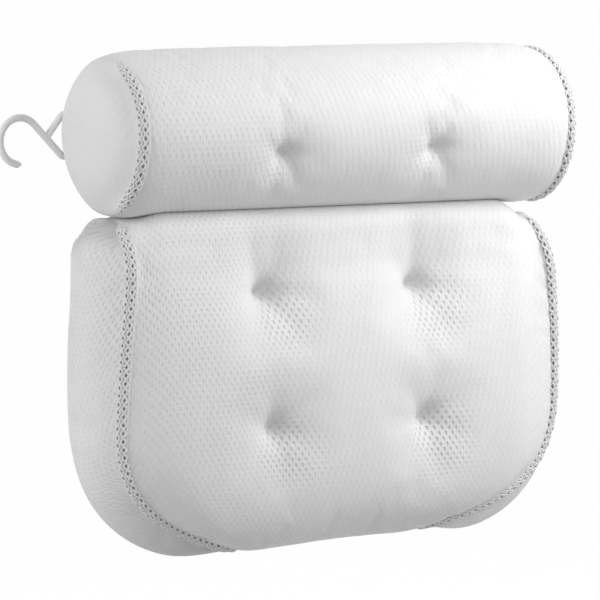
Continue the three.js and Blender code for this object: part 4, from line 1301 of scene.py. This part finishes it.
class PILLOW_OT_binding(bpy.types.Operator):
    """Open-work binding round the panel's side seams and the roll's end seams"""

    bl_idname = "pillow.binding"
    bl_label = "Binding"
    steps = 9  # points along one hole
    soften = 4  # points on either side that a panel's line is averaged over
    hidden_sink = 0.003  # how far the binding is pushed in where another piece covers it
    panel_sink = (0.0020, 0.0010)  # how far the lines lie behind the left and right seams
    ring_inset = 0.0014  # how far a ring's line lies inside the solid's
    end_scale = 0.3  # thickness at the tips
    rear_loss, under_loss, back_loss = 0.3, 0.45, 0.5  # how much thinner it gets out of sight
    rear_run = (0.53, 0.58)  # shares of the line over which it thins towards the rear
    under_run = (0.010, 0.026)  # distances from the top that the roll covers
    back_run = ((-0.62, -0.2), (-0.1, 0.4))  # where the left and right rings thin towards the back

    def execute(self, context):
        settings = context.scene.pillow
        for name, hand in HANDS:
            self.bind(settings, "panel", name, *self.panel_seam(settings, hand), closed=False)
        for name, hand in HANDS:
            self.bind(settings, "roll", name, *self.roll_seam(settings, name, hand), closed=True)
        return {"FINISHED"}

    def bind(self, settings, owner, name, path, side, edge, scale, closed):
        look, sizes = settings.finish, settings.binding
        strands = yarn_finish("open_work_yarn", look.binding, 0.0011, 0.9, 0.0001, 0.86)
        # painted shade: the tape under the strands gets a darker grey that stands for the shadow in the holes
        painted_shade_tape = yarn_finish("open_work_tape", look.binding_painted_shade, 0.0014, 0.3, 0.0002, 0.8)
        pattern = Pattern()
        turned_by = sizes.right_turn if name == "right" else 0.0
        open_work(pattern, path, side, edge, sizes, scale, closed, turned_by)
        piece = pattern.piece(f"{owner}_binding_{name}", strands, painted_shade_tape)
        finished(piece, owner, "binding", f"{owner}_trim_{name}")

    def panel_seam(self, settings, hand):
        """Line, sides and thickness up a front seam and down the rear one, thinner under the roll."""
        sizes = settings.binding
        line = PanelShape(settings.panel, 0).seam_line(hand, self.panel_sink[hand > 0])
        line = resampled(line, self.steps * round(run_length(line[:, :3])[-1] / sizes.pitch))
        ends = [np.repeat(line[at], self.soften, 0) for at in (slice(0, 1), slice(-1, None))]
        soft = np.concatenate([ends[0], line, ends[1]])
        line = np.mean([soft[k:k + len(line)] for k in range(2 * self.soften + 1)], axis=0)
        path, side = line[:, :3], unit(line[:, 3:])
        along = run_length(path)
        edge = unit(np.cross(side, unit(np.gradient(path, axis=0))) * hand)
        near = np.minimum(along, along[-1] - along)
        scale = self.end_scale + (1 - self.end_scale) * np.sqrt(np.clip(near / sizes.taper, 0, 1))
        scale = scale * (1 - self.rear_loss * smooth(along / along[-1], *self.rear_run))
        hidden = 1 - smooth(np.abs(along - along[np.argmax(path[:, 2])]), *self.under_run)
        scale = scale * (1 - self.under_loss * hidden)
        return path - self.hidden_sink * unit(edge + side) * hidden[:, None], side, edge, scale

    def roll_seam(self, settings, name, hand):
        """Line, sides and thickness round an end seam, thinner at the back."""
        low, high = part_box(f"roll_trim_{name}")
        radius = (high.z - low.z) / 2 - (high.x - low.x) / 2 - self.ring_inset
        angle = full_turn(self.steps * round(2 * np.pi * radius / settings.binding.pitch)) * hand
        edge = np.stack([0 * angle, np.cos(angle), np.sin(angle)], -1)
        side = np.broadcast_to(np.array([hand, 0.0, 0.0]), edge.shape)
        hidden = smooth(np.cos(angle), *self.back_run[hand > 0])
        path = np.array((low + high) / 2) + radius * edge - self.hidden_sink * side * hidden[:, None]
        roll = RollShape(settings.roll, 0)
        path[:, 2] -= roll.sag(roll.end, -np.sin(angle))
        return path, side, edge, 1 - self.back_loss * hidden


class PILLOW_OT_hinge(bpy.types.Operator):
    """Fabric web that joins the roll to the panel, with its two rows of stitches"""

    bl_idname = "pillow.hinge"
    bl_label = "Hinge web"

    def execute(self, context):
        settings = context.scene.pillow
        low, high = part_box("hinge_strip")
        web = yarn_finish("hinge_cloth", settings.finish.webbing, 0.0016, 0.2, 0.0002, 0.9)
        thread = sewing_thread(settings)
        front = (high.y - low.y) / 2 * 0.8
        stitch, stitch_pitch, stitch_rise, margin, right_margin = 0.0032, 0.005, 0.0005, 0.004, 0.015
        ripple_height, ripple_rate = 0.00025, 190
        x = np.linspace(low.x + margin, high.x - right_margin, 156)
        z = np.linspace(low.z, high.z, 9)
        ripple = ripple_height * np.sin(x * ripple_rate)[:, None]
        ripple = ripple * np.sin((z - low.z) / (high.z - low.z) * np.pi)
        pattern = Pattern()
        sheets = []
        for face in (-1, 1):
            grid = merged(x[:, None], HINGE_Y + face * front + ripple, z[None, :])
            sheets.append(pattern.add(grid))
            pattern.quads(sheets[-1], grid[..., [0, 2]])
        pattern.close(sheets)
        along = np.linspace(0, stitch, 6)
        rise = stitch_rise * np.sin(along / stitch * np.pi)
        for level in (low.z + 0.0035, high.z - 0.0022):
            for start in np.arange(x[0] + margin, x[-1] - margin, stitch_pitch):
                path = merged(start + along, HINGE_Y - front - rise, level)
                strand(pattern, path, (0, -1, 0), 0.0003, 5, finish=1)
        piece = pattern.piece("hinge_web", web, thread)
        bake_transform(piece)
        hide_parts("hinge_strip")
        return {"FINISHED"}


class PILLOW_OT_tufts(bpy.types.Operator):
    """Sewn tufts: a cross tack in each hollow, a thread through the stuffing and a knot behind"""

    bl_idname = "pillow.tufts"
    bl_label = "Tufts"

    def execute(self, context):
        settings = context.scene.pillow
        panel = PanelShape(settings.panel, settings.cloth.pucker)
        roll = RollShape(settings.roll, settings.cloth.pucker)
        for name, x, z, _ in panel.tufts():
            self.tie(settings, f"panel_tuft_tie_{name}", "panel", panel.tuft_point(x, z), (0, -1, 0))
        tilt = settings.roll.tuft_tilt
        for name, hand in HANDS:
            point = roll.cover(hand * settings.roll.tuft_x, roll.tuft_angle)
            self.tie(settings, f"roll_tuft_tie_{name}", "roll", point, (0, -math.cos(tilt), -math.sin(tilt)))
        return {"FINISHED"}

    def tie(self, settings, node, body, point, way):
        """One tie: a cross of short stitches, the thread through the stuffing and a knot of two loops."""
        arm_length, arm_lift, arm_curl, thread_sink = 0.0018, 0.0002, 0.0008, 0.0006
        knot_radius, knot_depth, knot_out = 0.0011, 0.5, 0.0006
        way = np.array(way, float)
        point = np.asarray(point, float)
        across = np.array([1.0, 0, 0])
        up = np.cross(across, way)
        pattern = Pattern()
        along = np.linspace(-1, 1, 9)[:, None]
        for turn_angle in (0.5, 1.6, 2.7):
            arm = math.cos(turn_angle) * across + math.sin(turn_angle) * up
            path = point + arm_length * along * arm + way * (arm_lift + arm_curl * along ** 2)
            strand(pattern, path, way, 0.0003)
        rear = np.array([point[0], REAR_Y + knot_out, point[2]])
        strand(pattern, np.linspace(point - way * thread_sink, rear, 24), (0, 0, 1), 0.0005)
        angle = full_turn(16)[:, None]
        for turn_angle in (0.2, 1.77):
            arm = np.array([math.cos(turn_angle), 0, math.sin(turn_angle)])
            loop = np.cos(angle) * arm + np.sin(angle) * np.array([0, knot_depth, 0])
            strand(pattern, rear + knot_radius * loop, (0, 1, 0), 0.00045, closed=True)
        finished(pattern.piece(f"{node}_stitch", sewing_thread(settings)), body, "thread", node)


class PILLOW_OT_cups(bpy.types.Operator):
    """Suction cups with their mushroom heads, and the snap eyelets that hold them"""

    bl_idname = "pillow.cups"
    bl_label = "Cups and eyelets"

    def execute(self, context):
        settings = context.scene.pillow
        sizes = settings.cup
        clear = moulded(
            "cup_clear", settings.finish.cup, 0.14, Transmission_Weight=0.82, IOR=1.49, Specular_IOR_Level=0.5
        )
        snap = moulded("eyelet_snap", settings.finish.eyelet, 0.42)
        places = [("roll", name, f"cup_roll_{name}") for name, _ in HANDS]
        spots = [f"{level}_{name}" for level in LEVELS for name, _ in HANDS]
        places += [("panel", spot, f"cup_{spot}") for spot in spots]
        for owner, name, body in places:
            node = f"{owner}_cup_{name}"
            low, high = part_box(node)
            place = ((low.x + high.x) / 2, 0, (low.z + high.z) / 2)
            pattern = Pattern()
            turned(pattern, self.cup(sizes, low.y), place, 64)
            finished(pattern.piece(f"{node}_clear", clear), body, "cup_rubber", node)
            node = f"{owner}_eyelet_{name}"
            low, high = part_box(node)
            pattern = Pattern()
            turned(pattern, self.eyelet(sizes, low.y, high.y), place, 48, closed=True)
            finished(pattern.piece(f"{node}_snap", snap), owner, "eyelet_plastic", node)
        return {"FINISHED"}

    def cup(self, sizes, head_y):
        """Profile from the head down the neck, over the bell, round the rim and into the hollow."""
        wide, neck, back, head = sizes.radius, sizes.neck, sizes.back, sizes.head
        inner = wide - sizes.land
        foot, edge, edge_height, shoulder, brim = 0.0075, 0.0006, 0.0012, 0.002, 0.004
        stem = rounded([
            [0, head_y], [head * 0.6, head_y], [head, head_y + shoulder], [head, head_y + brim],
            [neck, head_y + brim], [neck, -back - 0.0002], [foot, -back],
        ], 0.0008)
        bell = [
            [lerp(foot, wide - edge, t), -lerp(back, edge_height, 0.35 * t + 0.65 * t * t)]
            for t in np.linspace(0, 1, 9)
        ]
        rim = [[wide, -edge], [wide - 0.0002, -0.0001], [wide - 0.0007, 0], [inner + 0.0004, 0]]
        hollow = [[inner * t, -sizes.hollow * (1 - t * t)] for t in np.linspace(1, 0.06, 10)]
        return [*stem, *bell, *rim, *hollow, [0, -sizes.hollow]]

    def eyelet(self, sizes, low, high):
        """Profile of a barrel with a flange at either end."""
        bore, barrel, wide, flange = sizes.neck + 0.0003, sizes.neck + 0.0021, sizes.eyelet, 0.0012
        outline = [
            [bore, low], [wide, low], [wide, low + flange], [barrel, low + flange],
            [barrel, high - flange], [wide, high - flange], [wide, high], [bore, high], [bore, low + 0.001],
        ]
        return rounded(outline, 0.0005)[:-1]


class PILLOW_OT_hook(bpy.types.Operator):
    """Moulded hanging hook with its triangular eye"""

    bl_idname = "pillow.hook"
    bl_label = "Hook"

    def execute(self, context):
        settings = context.scene.pillow
        sizes = settings.hook
        plastic = moulded("hook_moulded", settings.finish.hook, 0.3, Coat_Weight=0.15)
        place = hook_place()
        wire, arm = self.path(sizes)
        pattern = Pattern()

        def parted(angle):
            """A fine ridge on either side, where the mould parts."""
            ridge_height, ridge_width = 0.05, 0.14
            off = np.minimum(np.abs(angle - np.pi / 2), np.abs(angle - 3 * np.pi / 2))
            return 1 + ridge_height * np.exp(-(off / ridge_width) ** 2)

        rounded_tip = sizes.wire * np.sqrt(np.clip(run_length(wire) / sizes.wire, 0.2, 1))
        for line, thick in ((wire, rounded_tip), (arm, sizes.wire)):
            points = merged(place[0] + line[:, 0], place[1], place[2] + line[:, 1])
            strand(pattern, points, (0, 1, 0), thick, 24, profile=parted)
        finished(pattern.piece("hook_moulding", plastic), "hook", "hook_plastic", "hook")
        return {"FINISHED"}

    def path(self, sizes):
        """The rod from its tip to the far end of the eye, and the arm that closes the eye."""
        def arc(centre, radius, start, end, count):
            angle = np.linspace(start, end, count)
            return centre + radius * np.stack([np.cos(angle), np.sin(angle)], -1)

        tilt, corner = sizes.tilt, sizes.corner
        along = np.array([math.cos(tilt), -math.sin(tilt)])
        low = np.array([-corner, -sizes.eye / 2])
        high = np.array([-corner, sizes.eye / 2])
        low_angle = math.atan2(-math.cos(tilt), -math.sin(tilt))
        shaft_end = low + corner * np.array([math.cos(low_angle), math.sin(low_angle)])
        shaft_start = shaft_end - along * sizes.shaft
        bend_angle = math.pi / 2 - tilt
        bend = shaft_start - sizes.bend * np.array([math.cos(bend_angle), math.sin(bend_angle)])
        join = shaft_start + along * sizes.arm_join
        to_join = join - high
        arm_angle = math.atan2(to_join[1], to_join[0]) % (2 * math.pi)
        arm_angle -= math.acos(corner / np.linalg.norm(to_join))
        wire = np.concatenate([
            arc(bend, sizes.bend, sizes.tip_angle, bend_angle, 60),
            np.linspace(shaft_start, shaft_end, 24)[1:-1],
            arc(low, corner, low_angle, 0, 16),
            np.linspace([0, low[1]], [0, high[1]], 16)[1:-1],
            arc(high, corner, 0, arm_angle, 16),
        ])
        arm = np.linspace(wire[-1], join, 16)
        return resampled(wire, 200), arm


def hook_place():
    """Middle of the bar that the loop goes round."""
    joint = next(j for j in frame["joints"] if j["name"] == "hook_swing")
    return np.array(joint["pos_m"], float)


class PILLOW_OT_loop(bpy.types.Operator):
    """Webbing loop round the hook's bar, its two ends sewn to the back of the roll"""

    bl_idname = "pillow.loop"
    bl_label = "Hook loop"

    def execute(self, context):
        settings = context.scene.pillow
        sizes = settings.hook
        place = hook_place()
        web = yarn_finish("loop_webbing", settings.finish.webbing, 0.0012, 0.0, 0.00015, 0.82)
        thread = sewing_thread(settings)
        thick, width, play = sizes.web_thickness, sizes.web_width, 0.0003
        ring = sizes.wire + play + thick / 2
        lower = REAR_Y + play + thick / 2 - place[1]
        upper = lower + thick
        angle = np.radians(np.linspace(-70, -290, 40))
        line = np.concatenate([
            merged(np.linspace(sizes.web_tail, 0.010, 16), lower),
            np.stack([np.linspace(0.0085, 0.003, 5), np.linspace(lower + 0.0001, -ring * 0.97, 5)], -1),
            ring * np.stack([np.cos(angle), np.sin(angle)], -1),
            np.stack([np.linspace(0.003, 0.0085, 6), np.linspace(ring * 0.8, upper + 0.0004, 6)], -1),
            merged(np.linspace(0.010, sizes.web_tail, 16), upper),
        ])
        line = resampled(line, 120)
        tangent = unit(np.gradient(line, axis=0))
        normal = np.stack([-tangent[:, 1], tangent[:, 0]], -1)
        heights = np.array([-0.5, -0.47, -0.4, -0.2, 0, 0.2, 0.4, 0.47, 0.5]) * width
        fullness = np.array([0.35, 0.8, 1, 0.94, 1, 0.94, 1, 0.8, 0.35])
        out = thick * 0.46
        pattern = Pattern()
        cloth = merged(heights[None, :], run_length(line)[:, None])
        sheets = []
        for face in (-1, 1):
            flat = line[:, None] + face * out * normal[:, None] * fullness[None, :, None]
            grid = merged(place[0] + flat[..., 0], place[1] + flat[..., 1], place[2] + heights)
            sheets.append(pattern.add(grid))
            pattern.quads(sheets[-1], cloth)
        pattern.close(sheets)
        self.box_stitch(pattern, place + np.array([0, upper + out, 0]), 0.35 * width)
        finished(pattern.piece("hook_loop_webbing", web, thread), "roll", "webbing", "hook_loop")
        return {"FINISHED"}

    def box_stitch(self, pattern, place, half):
        """A sewn rectangle with both its diagonals, over the two tails."""
        near, far, stitch_pitch, gap, steps = 0.012, 0.027, 0.0026, 0.12, 6
        corners = np.array([
            [near, -half], [far, -half], [far, half], [near, half], [far, -half],
            [near, -half], [near, half], [far, half], [near, -half],
        ])
        rise = 0.0003 * np.sin(np.linspace(0, np.pi, steps))
        for start, end in zip(corners[:-1], corners[1:]):
            count = max(2, round(np.linalg.norm(end - start) / stitch_pitch))
            for k in range(count):
                t = np.linspace((k + gap) / count, (k + 1 - gap) / count, steps)
                route = lerp(start, end, t[:, None])
                path = np.stack([place[0] + route[:, 0], place[1] + rise, place[2] + route[:, 1]], -1)
                strand(pattern, path, (0, 1, 0), 0.00028, 5, finish=1)


class PILLOW_PT_panel(bpy.types.Panel):
    """Buttons for each piece of the pillow"""

    bl_idname = "PILLOW_PT_panel"
    bl_label = "Bath pillow"
    bl_space_type = "VIEW_3D"
    bl_region_type = "UI"
    bl_category = "Pillow"

    def draw(self, context):
        settings = context.scene.pillow
        for group in PillowSettings.__annotations__:
            box = self.layout.box()
            values = getattr(settings, group)
            box.label(text=group.capitalize())
            for name in values.__annotations__:
                box.prop(values, name)
        for operator in OPERATORS:
            self.layout.operator(operator.bl_idname)


OPERATORS = (
    PILLOW_OT_stage, PILLOW_OT_panel, PILLOW_OT_roll, PILLOW_OT_binding, PILLOW_OT_hinge,
    PILLOW_OT_tufts, PILLOW_OT_cups, PILLOW_OT_hook, PILLOW_OT_loop,
)
CLASSES = (
    RollSizes, PanelSizes, ClothSizes, BindingSizes, CupSizes, HookSizes, Finishes, StudioSettings,
    PillowSettings, *OPERATORS, PILLOW_PT_panel,
)


def register():
    for each in CLASSES:
        bpy.utils.register_class(each)
    bpy.types.Scene.pillow = PointerProperty(type=PillowSettings)


def unregister():
    del bpy.types.Scene.pillow
    for each in reversed(CLASSES):
        bpy.utils.unregister_class(each)


def main():
    register()
    for name in ("stage", "panel", "roll", "binding", "hinge", "tufts", "cups", "hook", "loop"):
        getattr(bpy.ops.pillow, name)()


if __name__ == "__main__":
    main()
